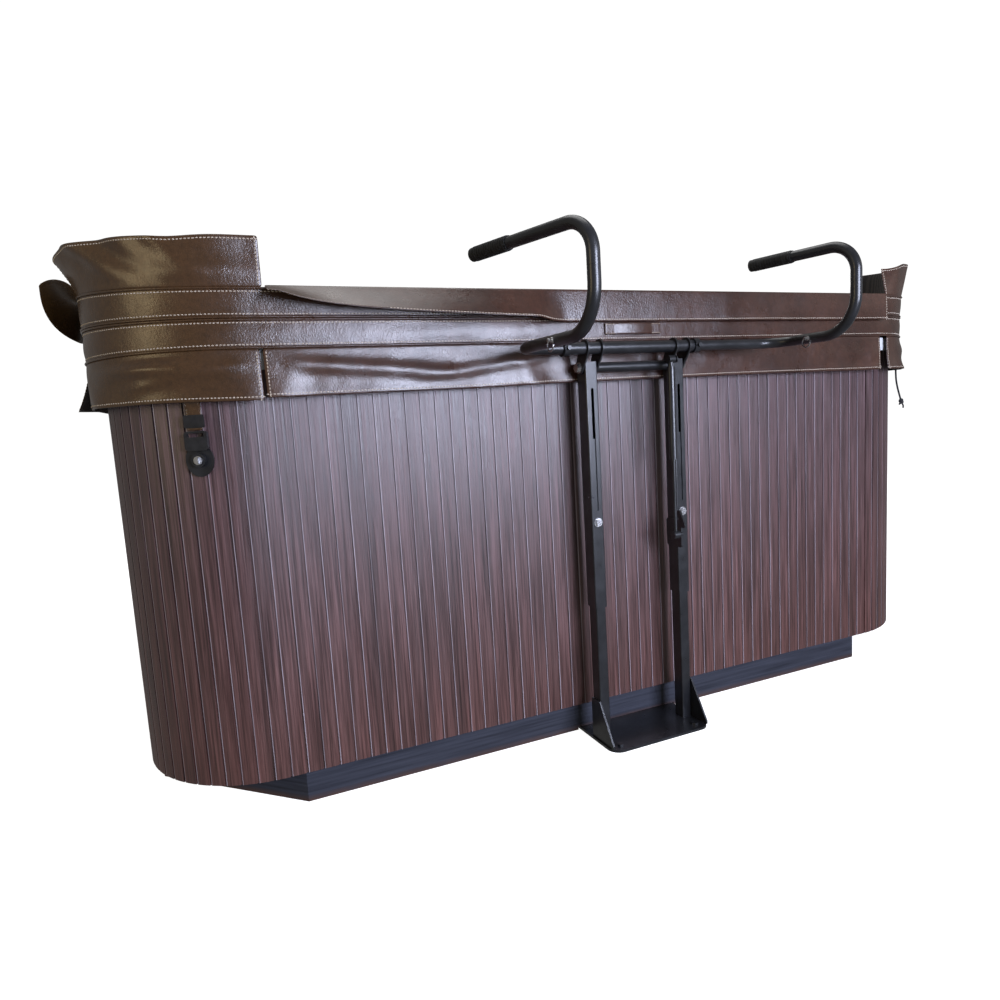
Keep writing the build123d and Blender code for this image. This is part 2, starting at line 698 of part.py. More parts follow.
SEAM_RADIUS = 2.5
SEAM_INSET = 4
with BuildPart() as hinge_seam:
    with BuildSketch(Plane.YZ.offset(SEAM_INSET - COVER_HALF)):
        with Locations((0, HINGE_Z)):
            Circle(SEAM_RADIUS)
    extrude(amount=2 * (COVER_HALF - SEAM_INSET))
save(hinge_seam.part, "hinge_seam")

HANDLE_X = 25
HANDLE_LENGTH = 150
HANDLE_Z = 941
HANDLE_WIDTH = 26
HANDLE_THICKNESS = 2.5
TAB_SIDE = 24
TAB_HEIGHT = 2
with BuildPart() as handle_strap:
    band_face = Plane(origin=(HANDLE_X, -COVER_HALF, HANDLE_Z), x_dir=(1, 0, 0), z_dir=(0, -1, 0))
    with BuildSketch(band_face.offset(TAB_HEIGHT)):
        RectangleRounded(HANDLE_LENGTH, HANDLE_WIDTH, 4)
    extrude(amount=HANDLE_THICKNESS)
    with BuildSketch(band_face):
        with GridLocations(HANDLE_LENGTH - HANDLE_WIDTH, 0, 2, 1):
            Rectangle(TAB_SIDE, TAB_SIDE)
    extrude(amount=TAB_HEIGHT)
save(handle_strap.part, "handle_strap")

# ---------------------------------------------------------------- lock strap on the left corner
LOCK_X = -918
LOCK_TURN = degrees(atan2(HALF - CABINET_RADIUS + LOCK_X, CABINET_RADIUS))
CORNER_CENTRE = (CABINET_RADIUS - HALF, CABINET_RADIUS - HALF)
LOCK_ANGLE = radians(LOCK_TURN)
LOCK_OUT = Vector(sin(LOCK_ANGLE), -cos(LOCK_ANGLE), 0)
LOCK_ALONG = Vector(cos(LOCK_ANGLE), sin(LOCK_ANGLE), 0)
STRAP_WIDTH = 30
LOCK_Z = 716
BUCKLE_Z = 752
BUCKLE_WIDTH = 42
BUCKLE_HEIGHT = 36
BUCKLE_DEPTH = 9
SLIDER_Z = 788
SLIDER_WIDTH = 38
SLIDER_HEIGHT = 24
STRAP_TOP_STAND = 20
STRAP_LOW_STAND = 9
STRAP_END_Z = 771.7
KEY_RADIUS = 8
KEY_BORE = 8.2
PLATE_HALF_LONG = 31
PLATE_HALF_SHORT = 26


def corner_point(stand_off, along=0, z=0):
    """Point in front of the left rounded corner, stand_off out from the panel."""
    foot = Vector(CORNER_CENTRE[0], CORNER_CENTRE[1], z) + LOCK_OUT * (CABINET_RADIUS + stand_off)
    return foot + LOCK_ALONG * along


def strap_plane(along=0):
    """Plane across the strap: its x points out of the cabinet, its y points up."""
    return Plane(origin=corner_point(0, along), x_dir=LOCK_OUT, z_dir=LOCK_OUT.cross(Vector(0, 0, 1)))


def face_plane(stand_off, along, z):
    """Plane in front of the corner, facing out of the cabinet."""
    return Plane(origin=corner_point(stand_off, along, z), x_dir=LOCK_ALONG, z_dir=LOCK_OUT)


with BuildPart() as lock_strap:
    with BuildSketch(strap_plane()):
        with BuildLine():
            Polyline(
                (STRAP_TOP_STAND, COVER_BOTTOM - 1.5),
                (STRAP_TOP_STAND, 838),
                (STRAP_LOW_STAND, 812),
                (STRAP_LOW_STAND, STRAP_END_Z),
            )
            offset(amount=1.2, side=Side.BOTH)
        make_face()
    extrude(amount=STRAP_WIDTH / 2, both=True)
save(lock_strap.part, "lock_strap")

with BuildPart() as lock_buckle:
    with BuildSketch(face_plane(4.5, 0, BUCKLE_Z)):
        RectangleRounded(BUCKLE_WIDTH, BUCKLE_HEIGHT, 6)
        with Locations((0, 11)):
            Rectangle(STRAP_WIDTH + 1, 7, mode=Mode.SUBTRACT)
    extrude(amount=BUCKLE_DEPTH)
    with BuildSketch(face_plane(10.5, 0, SLIDER_Z)):
        RectangleRounded(SLIDER_WIDTH, SLIDER_HEIGHT, 3)
    extrude(amount=2.2)
save(lock_buckle.part, "lock_buckle")

with BuildPart() as lock_plate:
    with BuildSketch(face_plane(1, 0, LOCK_Z)):
        Ellipse(PLATE_HALF_SHORT, PLATE_HALF_LONG)
        Circle(KEY_BORE, mode=Mode.SUBTRACT)
    extrude(amount=3)
    with BuildSketch(face_plane(4, 0, LOCK_Z)):
        Circle(13)
        Circle(KEY_BORE, mode=Mode.SUBTRACT)
    extrude(amount=8)
save(lock_plate.part, "lock_plate")

with BuildPart() as lock_key:
    with BuildSketch(face_plane(1.5, 0, LOCK_Z)):
        Circle(KEY_RADIUS)
    extrude(amount=12.5)
    with BuildSketch(face_plane(14, 0, LOCK_Z)):
        RectangleRounded(5, 13, 2)
    extrude(amount=6)
save(lock_key.part, "lock_key")

# ---------------------------------------------------------------- tie cord on the right corner
CORD_ANGLE = radians(40)
CORD_OUT = Vector(cos(CORD_ANGLE), -sin(CORD_ANGLE), 0)
CORD_DIAMETER = 5
CORD_RUNS = ((0, 0), (0.4, 20), (3, 42), (8, 65), (14, 88))
HEM_Z = COVER_BOTTOM - SKIRT_DROP


def cord_point(lean, drop):
    """Point below the skirt's hem at the right corner, lean out and drop down."""
    reach = COVER_RADIUS - SKIRT_THICKNESS / 2 + lean
    return Vector(COVER_HALF - COVER_RADIUS, COVER_RADIUS - COVER_HALF, HEM_Z - drop) + CORD_OUT * reach


def cord_radii(points):
    """The largest arc that each corner of the route has room for."""
    radii = []
    for before, corner, after in zip(points, points[1:], points[2:]):
        turn = radians((corner - before).get_angle(after - corner))
        radii.append(0.45 * min((corner - before).length, (after - corner).length) / (turn / 2))
    return radii


CORD_POINTS = [cord_point(lean, drop) for lean, drop in CORD_RUNS]
print("tie cord radii", [round(radius) for radius in cord_radii(CORD_POINTS)])
with BuildPart() as tie_cord:
    with BuildLine() as cord_line:
        FilletPolyline(*CORD_POINTS, radius=cord_radii(CORD_POINTS))
    with BuildSketch(Plane(origin=CORD_POINTS[0], z_dir=(0, 0, -1))):
        Circle(CORD_DIAMETER / 2)
    sweep()
save(tie_cord.part, "tie_cord")
print("tie cord length", round(cord_line.wire().length, 1))

KNOT_RADIUS = 8
KNOT_OVERLAP = 2
cord_end_run = CORD_POINTS[-1] - CORD_POINTS[-2]
KNOT_CENTRE = CORD_POINTS[-1] + cord_end_run.normalized() * (KNOT_RADIUS - KNOT_OVERLAP)
with BuildPart(Plane(origin=KNOT_CENTRE)) as tie_knot:
    Sphere(KNOT_RADIUS)
save(tie_knot.part, "tie_knot")

# ---------------------------------------------------------------- lifter: fixed foot and posts
PLATE_THICKNESS = 6
PLATE_HALF_WIDTH = 135
PLATE_FRONT = NEAR - 134
PLATE_BACK = NEAR + 110
POST_WIDTH = 25
POST_DEPTH = 32
POST_TOP = 700
GUSSET_HEIGHT = 100
SCREW_X = 105
SCREW_Y = NEAR - 112
SCREW_RADIUS = 3.8
SCREW_HOLE = 4
GUSSET_FRONT = NEAR - 125
GUSSET_BACK = NEAR - 38
GUSSET_SLOPE = NEAR - 72
GUSSET_LIP = 8
GUSSET_THICKNESS = 4
POST_WALL = 2

with BuildPart() as lifter_base_plate:
    with BuildSketch() as outline:
        with Locations((0, PLATE_FRONT)):
            Rectangle(2 * PLATE_HALF_WIDTH, PLATE_BACK - PLATE_FRONT, align=(Align.CENTER, Align.MIN))
        fillet(outline.vertices().group_by(Axis.Y)[0], 28)
        with Locations((-SCREW_X, SCREW_Y), (SCREW_X, SCREW_Y)):
            Circle(SCREW_HOLE, mode=Mode.SUBTRACT)
    extrude(amount=PLATE_THICKNESS)
save(lifter_base_plate.part, "lifter_base_plate")

with BuildPart() as plate_screws:
    for side in (-1, 1):
        with BuildSketch(Plane(origin=(side * SCREW_X, SCREW_Y, 0))):
            Circle(SCREW_RADIUS)
        extrude(amount=PLATE_THICKNESS)
        with BuildSketch(Plane(origin=(side * SCREW_X, SCREW_Y, PLATE_THICKNESS))):
            RegularPolygon(7.5, 6)
        extrude(amount=5)
save(plate_screws.part, "plate_screws")

with BuildPart() as lifter_gussets:
    for side in (-1, 1):
        with BuildSketch(Plane.YZ.offset(side * (POST_X + POST_WIDTH / 2))):
            with BuildLine():
                Polyline(
                    (GUSSET_FRONT, PLATE_THICKNESS),
                    (GUSSET_FRONT, PLATE_THICKNESS + GUSSET_LIP),
                    (GUSSET_SLOPE, GUSSET_HEIGHT),
                    (GUSSET_BACK, GUSSET_HEIGHT),
                    (GUSSET_BACK, PLATE_THICKNESS),
                    close=True,
                )
            make_face()
        extrude(amount=side * GUSSET_THICKNESS)
save(lifter_gussets.part, "lifter_gussets")


def box_tubes(base, top, width, depth, wall):
    """A pair of rectangular tubes standing at the two post places."""
    with BuildPart() as tubes:
        with BuildSketch(Plane.XY.offset(base)):
            with Locations((-POST_X, PIVOT_Y), (POST_X, PIVOT_Y)):
                RectangleRounded(width, depth, 3)
                RectangleRounded(width - 2 * wall, depth - 2 * wall, 1.5, mode=Mode.SUBTRACT)
        extrude(amount=top - base)
    return tubes.part


save(box_tubes(PLATE_THICKNESS, POST_TOP, POST_WIDTH, POST_DEPTH, POST_WALL), "lifter_posts")

# ---------------------------------------------------------------- lifter: sliding mast
SLEEVE_FRONT = PIVOT_Y - SLEEVE_DEPTH / 2
SLEEVE_TOP = PIVOT_Z + 12
SLOT_BOTTOM = 540
SLOT_TOP = 810
SLOT_WIDTH = 7
CLAMP_RADIUS = 4
CLAMP_HOLE = 4.1
WASHER_RADIUS = 10
WASHER_THICKNESS = 2
CLAMP_Z = 515
PIN_RADIUS = 6
PIVOT_CLEARANCE = 0.15
PRESS_CLEARANCE = 0.05
PLATE_GAP = 1
BRACKET_THICKNESS = 4

with BuildPart() as post_sleeves:
    add(box_tubes(SLEEVE_BOTTOM, SLEEVE_TOP, SLEEVE_WIDTH, SLEEVE_DEPTH, SLEEVE_WALL))
    with BuildSketch(Plane(origin=(0, SLEEVE_FRONT, 0), x_dir=(1, 0, 0), z_dir=(0, -1, 0))):
        with Locations((0, (SLOT_BOTTOM + SLOT_TOP) / 2)):
            with GridLocations(2 * POST_X, 0, 2, 1):
                SlotOverall(SLOT_TOP - SLOT_BOTTOM, SLOT_WIDTH, rotation=90)
        with Locations((0, CLAMP_Z)):
            with GridLocations(2 * POST_X, 0, 2, 1):
                Circle(CLAMP_HOLE)
    extrude(amount=-2 * SLEEVE_WALL, mode=Mode.SUBTRACT)
    with BuildSketch(Plane.YZ):
        with Locations((PIVOT_Y, PIVOT_Z)):
            Circle(PIN_RADIUS + PIVOT_CLEARANCE)
    extrude(amount=2 * POST_X, both=True, mode=Mode.SUBTRACT)
save(post_sleeves.part, "post_sleeves")

with BuildPart() as clamp_bolts:
    for side in (-1, 1):
        sleeve_face = Plane(origin=(side * POST_X, SLEEVE_FRONT, CLAMP_Z), x_dir=(1, 0, 0), z_dir=(0, -1, 0))
        with BuildSketch(sleeve_face):
            Circle(WASHER_RADIUS)
        extrude(amount=WASHER_THICKNESS)
        with BuildSketch(sleeve_face.offset(WASHER_THICKNESS)):
            RegularPolygon(8, 6)
        extrude(amount=5)
        with BuildSketch(sleeve_face):
            Circle(CLAMP_RADIUS)
        extrude(amount=-SLEEVE_WALL)
save(clamp_bolts.part, "clamp_bolts")

GAS_PLATE_X = POST_X - SLEEVE_WIDTH / 2
EYE_WIDTH = 16
STUD_RADIUS = 5
STUD_GAP = 0.5
GAS_PLATE = 4
GAS_EYE = 9
ROD_RADIUS = 4
ROD_LENGTH = 280
PISTON_RADIUS = 7
PISTON_LENGTH = 8
CYLINDER_RADIUS = 9
CYLINDER_BOTTOM = 640
CYLINDER_TOP = 848
CYLINDER_BORE = 7.3
with BuildPart() as gas_bracket:
    with BuildSketch(Plane.YZ.offset(GAS_PLATE_X)):
        with Locations((PIVOT_Y - 10, GAS_FOOT_Z)):
            RectangleRounded(54, 66, 6)
        with Locations((GAS_STUD_Y + 2, GAS_FOOT_Z + 34)):
            SlotOverall(44, 14, rotation=60)
    extrude(amount=-GAS_PLATE)
    with BuildSketch(Plane.YZ.offset(GAS_PLATE_X - GAS_PLATE)):
        with Locations((GAS_STUD_Y, GAS_FOOT_Z)):
            Circle(STUD_RADIUS)
    extrude(amount=GAS_X + EYE_WIDTH / 2 + STUD_GAP - GAS_PLATE_X + GAS_PLATE)
save(gas_bracket.part, "gas_bracket")


def gas_eye(z):
    """Eye of the gas spring, as a short barrel across it."""
    with BuildPart() as eye:
        with BuildSketch(Plane.YZ.offset(GAS_X - EYE_WIDTH / 2)):
            with Locations((GAS_STUD_Y, z)):
                Circle(GAS_EYE)
        extrude(amount=EYE_WIDTH)
    return eye.part


with BuildPart() as gas_rod:
    add(gas_eye(GAS_FOOT_Z))
    with BuildSketch(Plane(origin=(GAS_X, GAS_STUD_Y, GAS_FOOT_Z))):
        Circle(ROD_RADIUS)
    extrude(amount=ROD_LENGTH)
    with BuildSketch(Plane(origin=(GAS_X, GAS_STUD_Y, GAS_FOOT_Z + ROD_LENGTH - PISTON_LENGTH))):
        Circle(PISTON_RADIUS)
    extrude(amount=PISTON_LENGTH)
save(gas_rod.part, "gas_rod")

with BuildPart() as gas_cylinder:
    add(gas_eye(GAS_STUD_Z))
    cylinder_foot = Plane(origin=(GAS_X, GAS_STUD_Y, CYLINDER_BOTTOM))
    with BuildSketch(cylinder_foot):
        Circle(CYLINDER_RADIUS)
    extrude(amount=CYLINDER_TOP - CYLINDER_BOTTOM)
    with BuildSketch(cylinder_foot.offset(CYLINDER_TOP - CYLINDER_BOTTOM)):
        Circle(6)
    extrude(amount=GAS_STUD_Z - CYLINDER_TOP)
    with BuildSketch(cylinder_foot.offset(8)):
        Circle(CYLINDER_BORE)
    extrude(amount=190, mode=Mode.SUBTRACT)
    with BuildSketch(cylinder_foot):
        Circle(ROD_RADIUS + 0.2)
    extrude(amount=10, mode=Mode.SUBTRACT)
save(gas_cylinder.part, "gas_cylinder")

# ---------------------------------------------------------------- lifter: cradle
BRACKET_INNER = SLEEVE_WIDTH / 2 + PLATE_GAP
INNER_FACE = POST_X - BRACKET_INNER - BRACKET_THICKNESS
BRACKET_PIVOT_RADIUS = 15
BRACKET_BAR_RADIUS = 19
STUD_ARM = 3
CROSS_RADIUS = 11
COLLAR_RADIUS = 17
COLLAR_LENGTH = 14


def yz_circle(x, y, z, radius, length):
    """Round bar along X from x."""
    with BuildPart() as bar:
        with BuildSketch(Plane.YZ.offset(x)):
            with Locations((y, z)):
                Circle(radius)
        extrude(amount=length)
    return bar.part


with BuildPart() as cradle_brackets:
    for side in (-1, 1):
        for face in (BRACKET_INNER, -BRACKET_INNER - BRACKET_THICKNESS):
            with BuildSketch(Plane.YZ.offset(side * POST_X + face)):
                with Locations((PIVOT_Y, PIVOT_Z)):
                    Circle(BRACKET_PIVOT_RADIUS)
                with Locations((BAR_Y, BAR_Z)):
                    Circle(BRACKET_BAR_RADIUS)
                make_hull()
                with Locations((PIVOT_Y, PIVOT_Z)):
                    Circle(PIN_RADIUS + PRESS_CLEARANCE, mode=Mode.SUBTRACT)
                with Locations((BAR_Y, BAR_Z)):
                    Circle(BAR_OUTER / 2 + PRESS_CLEARANCE, mode=Mode.SUBTRACT)
            extrude(amount=BRACKET_THICKNESS)
    with BuildSketch(Plane.YZ.offset(INNER_FACE)):
        with Locations((PIVOT_Y - 16, PIVOT_Z + 14)):
            Circle(7)
        with Locations((GAS_STUD_Y, GAS_STUD_Z)):
            Circle(8)
        make_hull()
    extrude(amount=-STUD_ARM)
    with BuildSketch(Plane.YZ.offset(INNER_FACE - STUD_ARM)):
        with Locations((GAS_STUD_Y, GAS_STUD_Z)):
            Circle(STUD_RADIUS)
    extrude(amount=GAS_X + EYE_WIDTH / 2 + STUD_GAP - INNER_FACE + STUD_ARM)
save(cradle_brackets.part, "cradle_brackets")

with BuildPart() as cross_tube:
    bore = PIN_RADIUS + PRESS_CLEARANCE
    add(yz_circle(-INNER_FACE, PIVOT_Y, PIVOT_Z, CROSS_RADIUS, 2 * INNER_FACE))
    add(yz_circle(-INNER_FACE, PIVOT_Y, PIVOT_Z, bore, 2 * INNER_FACE), mode=Mode.SUBTRACT)
save(cross_tube.part, "cross_tube")

OUTER_FACE = POST_X + BRACKET_INNER + BRACKET_THICKNESS
BOLT_WASHER = 12
BOLT_WASHER_THICKNESS = 2
BOLT_REACH = 60
with BuildPart() as pivot_bolts:
    for side in (-1, 1):
        with BuildSketch(Plane.YZ.offset(side * OUTER_FACE)):
            with Locations((PIVOT_Y, PIVOT_Z)):
                Circle(BOLT_WASHER)
        extrude(amount=side * BOLT_WASHER_THICKNESS)
        with BuildSketch(Plane.YZ.offset(side * (OUTER_FACE + BOLT_WASHER_THICKNESS))):
            with Locations((PIVOT_Y, PIVOT_Z)):
                RegularPolygon(10, 6)
        extrude(amount=side * 6)
        with BuildSketch(Plane.YZ.offset(side * OUTER_FACE)):
            with Locations((PIVOT_Y, PIVOT_Z)):
                Circle(PIN_RADIUS)
        extrude(amount=-side * BOLT_REACH)
save(pivot_bolts.part, "pivot_bolts")

with BuildPart() as main_bar:
    add(yz_circle(BAR_LEFT, BAR_Y, BAR_Z, BAR_OUTER / 2, BAR_RIGHT - BAR_LEFT))
    add(yz_circle(BAR_LEFT, BAR_Y, BAR_Z, BAR_INNER / 2, BAR_RIGHT - BAR_LEFT), mode=Mode.SUBTRACT)
save(main_bar.part, "main_bar")

with BuildPart() as bar_collars:
    for start in (BAR_LEFT + 1, BAR_RIGHT - COLLAR_LENGTH - 1):
        add(yz_circle(start, BAR_Y, BAR_Z, COLLAR_RADIUS, COLLAR_LENGTH))
        screw_place = (start + COLLAR_LENGTH / 2, BAR_Y - COLLAR_RADIUS + 2, BAR_Z)
        with BuildSketch(Plane(origin=screw_place, x_dir=(1, 0, 0), z_dir=(0, -1, 0))):
            Circle(4.5)
        extrude(amount=8)
    bore = BAR_OUTER / 2 + PRESS_CLEARANCE
    add(yz_circle(BAR_LEFT, BAR_Y, BAR_Z, bore, BAR_RIGHT - BAR_LEFT), mode=Mode.SUBTRACT)
save(bar_collars.part, "bar_collars")


# ---------------------------------------------------------------- lifter: legs, elbows, canes
def tube_run(points, bends, outer, inner):
    """Hollow round tube through points, with rounded corners."""
    with BuildPart() as tube:
        with BuildLine() as route:
            FilletPolyline(*points, radius=bends)
        with BuildSketch(Plane(origin=points[0], z_dir=route.wire() % 0)):
            Circle(outer / 2)
            Circle(inner / 2, mode=Mode.SUBTRACT)
        sweep()
    return tube.part


def straight_tube(start, direction, length, outer, inner):
    """Hollow straight tube."""
    with BuildPart() as tube:
        with BuildSketch(Plane(origin=start, z_dir=direction)):
            Circle(outer / 2)
            Circle(inner / 2, mode=Mode.SUBTRACT)
        extrude(amount=length)
    return tube.part


PIN_BORE = 3.2
PIN_SETBACK = 24
PIN_HEAD = 5.5
RING_RADIUS = 12
RING_WIRE = 2
CANE_GAP = 0.3
CANE_BEND = 58
CANE_SPIGOT = 22
SHOULDER = 4
GRIP_LENGTH = 104
GRIP_DIAMETER = 27
RIB_COUNT = 14
RIB_PITCH = 7
RIB_DIAMETER = 28.6


def build_arm(name, inside_x, leg_x, leg_bend, leg_end, spigot, upright_y, elbow_bend, swivel, reach):
    """One side of the cradle: leg, ring pin, elbow, cane and grip."""
    pin_y = leg_end + PIN_SETBACK
    with BuildPart() as leg:
        leg_route = [(inside_x, BAR_Y, BAR_Z), (leg_x, BAR_Y, BAR_Z), (leg_x, leg_end, BAR_Z)]
        add(tube_run(leg_route, leg_bend, LEG_OUTER, LEG_INNER))
        with BuildSketch(Plane.YZ.offset(leg_x)):
            with Locations((pin_y, BAR_Z)):
                Circle(PIN_BORE)
        extrude(amount=-LEG_OUTER, mode=Mode.SUBTRACT)
    save(leg.part, name + "_leg")

    with BuildPart() as pin:
        add(yz_circle(leg_x - LEG_INNER / 2 + 2.5, pin_y, BAR_Z, PIN_BORE - 0.2, -LEG_OUTER / 2 - 3))
        add(yz_circle(leg_x - LEG_OUTER / 2 - 0.4, pin_y, BAR_Z, PIN_HEAD, -4))
        with BuildSketch(Plane.YZ.offset(leg_x - LEG_OUTER / 2 - 5.4)):
            with Locations((pin_y, BAR_Z - 9)):
                Circle(RING_RADIUS)
                Circle(RING_RADIUS - RING_WIRE, mode=Mode.SUBTRACT)
        extrude(amount=RING_WIRE)
    save(pin.part, name + "_ring_pin")

    with BuildPart() as elbow:
        elbow_route = [(leg_x, leg_end, BAR_Z), (leg_x, upright_y, BAR_Z), (leg_x, upright_y, SOCKET_Z)]
        add(tube_run(elbow_route, elbow_bend, LEG_OUTER, LEG_INNER))
        add(straight_tube((leg_x, leg_end - 0.2, BAR_Z), (0, -1, 0), SHOULDER, LEG_OUTER, SPIGOT_INNER))
        add(straight_tube((leg_x, leg_end - 1, BAR_Z), (0, 1, 0), spigot + 1, SPIGOT_OUTER, SPIGOT_INNER))
        with BuildSketch(Plane.YZ.offset(leg_x)):
            with Locations((pin_y + spigot / 2 - PIN_SETBACK / 2 - 4, BAR_Z)):
                SlotOverall(spigot - PIN_SETBACK - 2, 2 * PIN_BORE)
        extrude(amount=-LEG_OUTER, mode=Mode.SUBTRACT)
    save(elbow.part, name + "_elbow")

    heading = radians(swivel)
    tip = (leg_x - sin(heading) * reach, upright_y + cos(heading) * reach, CANE_Z)
    inward = Vector(-sin(heading), cos(heading), 0)
    with BuildPart() as cane:
        foot = (leg_x, upright_y, SOCKET_Z + CANE_GAP)
        add(tube_run([foot, (leg_x, upright_y, CANE_Z), tip], CANE_BEND, LEG_OUTER, LEG_INNER))
        add(straight_tube(foot, (0, 0, 1), SHOULDER, LEG_OUTER, SPIGOT_INNER))
        spigot_top = (leg_x, upright_y, SOCKET_Z + 1)
        add(straight_tube(spigot_top, (0, 0, -1), CANE_SPIGOT, SPIGOT_OUTER, SPIGOT_INNER))
    save(cane.part, name + "_cane")

    with BuildPart() as grip:
        grip_start = Vector(*tip) - inward * GRIP_LENGTH
        add(straight_tube(grip_start, inward, GRIP_LENGTH, GRIP_DIAMETER, LEG_OUTER + 0.1))
        for rib in range(RIB_COUNT):
            rib_place = grip_start + inward * (4 + RIB_PITCH * rib)
            add(straight_tube(rib_place, inward, 3, RIB_DIAMETER, GRIP_DIAMETER - 1))
        add(straight_tube(Vector(*tip), inward, 4, GRIP_DIAMETER, 4))
    save(grip.part, name + "_grip")


build_arm(
    "left",
    inside_x=-40,
    leg_x=-290,
    leg_bend=45,
    leg_end=NEAR - 275,
    spigot=80,
    upright_y=NEAR - 385,
    elbow_bend=80,
    swivel=16,
    reach=311,
)
build_arm(
    "right",
    inside_x=110,
    leg_x=400,
    leg_bend=62,
    leg_end=NEAR - 215,
    spigot=58,
    upright_y=NEAR - 310,
    elbow_bend=80,
    swivel=12,
    reach=250,
)
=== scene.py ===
import json
import math
import random

import bpy
from mathutils import Matrix, Vector, noise
from mathutils.bvhtree import BVHTree


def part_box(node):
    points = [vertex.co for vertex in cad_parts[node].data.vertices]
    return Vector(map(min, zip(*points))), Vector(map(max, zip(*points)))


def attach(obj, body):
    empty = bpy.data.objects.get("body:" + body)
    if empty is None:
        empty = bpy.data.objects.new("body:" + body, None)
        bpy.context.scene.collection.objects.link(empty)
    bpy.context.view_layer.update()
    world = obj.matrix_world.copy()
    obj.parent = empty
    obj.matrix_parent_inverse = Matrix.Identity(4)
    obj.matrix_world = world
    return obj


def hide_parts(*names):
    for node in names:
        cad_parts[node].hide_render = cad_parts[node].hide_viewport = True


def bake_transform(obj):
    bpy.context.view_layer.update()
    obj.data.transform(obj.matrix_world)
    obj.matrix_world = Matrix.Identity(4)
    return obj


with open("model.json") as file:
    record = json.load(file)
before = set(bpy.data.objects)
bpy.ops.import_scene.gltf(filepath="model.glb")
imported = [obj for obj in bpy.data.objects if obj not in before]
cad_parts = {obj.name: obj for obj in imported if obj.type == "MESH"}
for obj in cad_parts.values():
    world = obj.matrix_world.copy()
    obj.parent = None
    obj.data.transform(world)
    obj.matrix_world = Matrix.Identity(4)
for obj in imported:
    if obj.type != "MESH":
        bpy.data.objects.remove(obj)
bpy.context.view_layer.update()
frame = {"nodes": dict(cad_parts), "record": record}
NODES = frame["nodes"]

# ------------------------------------------------------------------ sizes shared with part.py, in metres
COVER_HALF = 1.1
COVER_RADIUS = 0.292
COVER_BOTTOM = 0.914
COVER_EDGE = 0.053
COVER_MIDDLE = 0.102
COVER_GAP = 0.004
HINGE_Z = COVER_BOTTOM + COVER_MIDDLE + 0.001
SKIRT_DROP = 0.091
FOLD = math.pi + 2 * math.atan2(COVER_MIDDLE - COVER_EDGE, COVER_HALF)
SLIT_SIDE = -0.79
FLAP_LEFT = -0.772
FLAP_RIGHT = 0.846
FLAP_DROP = 0.066
RIGHT_CORNER = COVER_HALF - COVER_RADIUS
QUARTER = COVER_RADIUS * math.pi / 2
CORNER_PLACE = 0.808
FLUTE_PITCH = 2 * CORNER_PLACE / 50
CORNER_FLUTES = 13
# place and width of the painted highlight on each groove edge, as shares of the groove pitch
EDGE_OFFSET = 0.083
EDGE_WIDTH = 0.036

# ------------------------------------------------------------------ camera
EYE = Vector((-0.924, -2.485, 0.773))
YAW, PITCH, ROLL = 0.406, 0.125, -0.061
ahead = Vector((math.sin(YAW) * math.cos(PITCH), math.cos(YAW) * math.cos(PITCH), -math.sin(PITCH)))
level = Vector((math.cos(YAW), -math.sin(YAW), 0))
upward = level.cross(ahead)
across = level * math.cos(ROLL) + upward * math.sin(ROLL)
above = upward * math.cos(ROLL) - level * math.sin(ROLL)
camera = bpy.data.objects.new("camera", bpy.data.cameras.new("camera"))
camera.data.lens = 25.45
camera.data.sensor_width = 36
camera.data.clip_end = 60
camera.matrix_world = Matrix.Translation(EYE) @ Matrix((across, above, -ahead)).transposed().to_4x4()
bpy.context.scene.collection.objects.link(camera)
bpy.context.scene.camera = camera


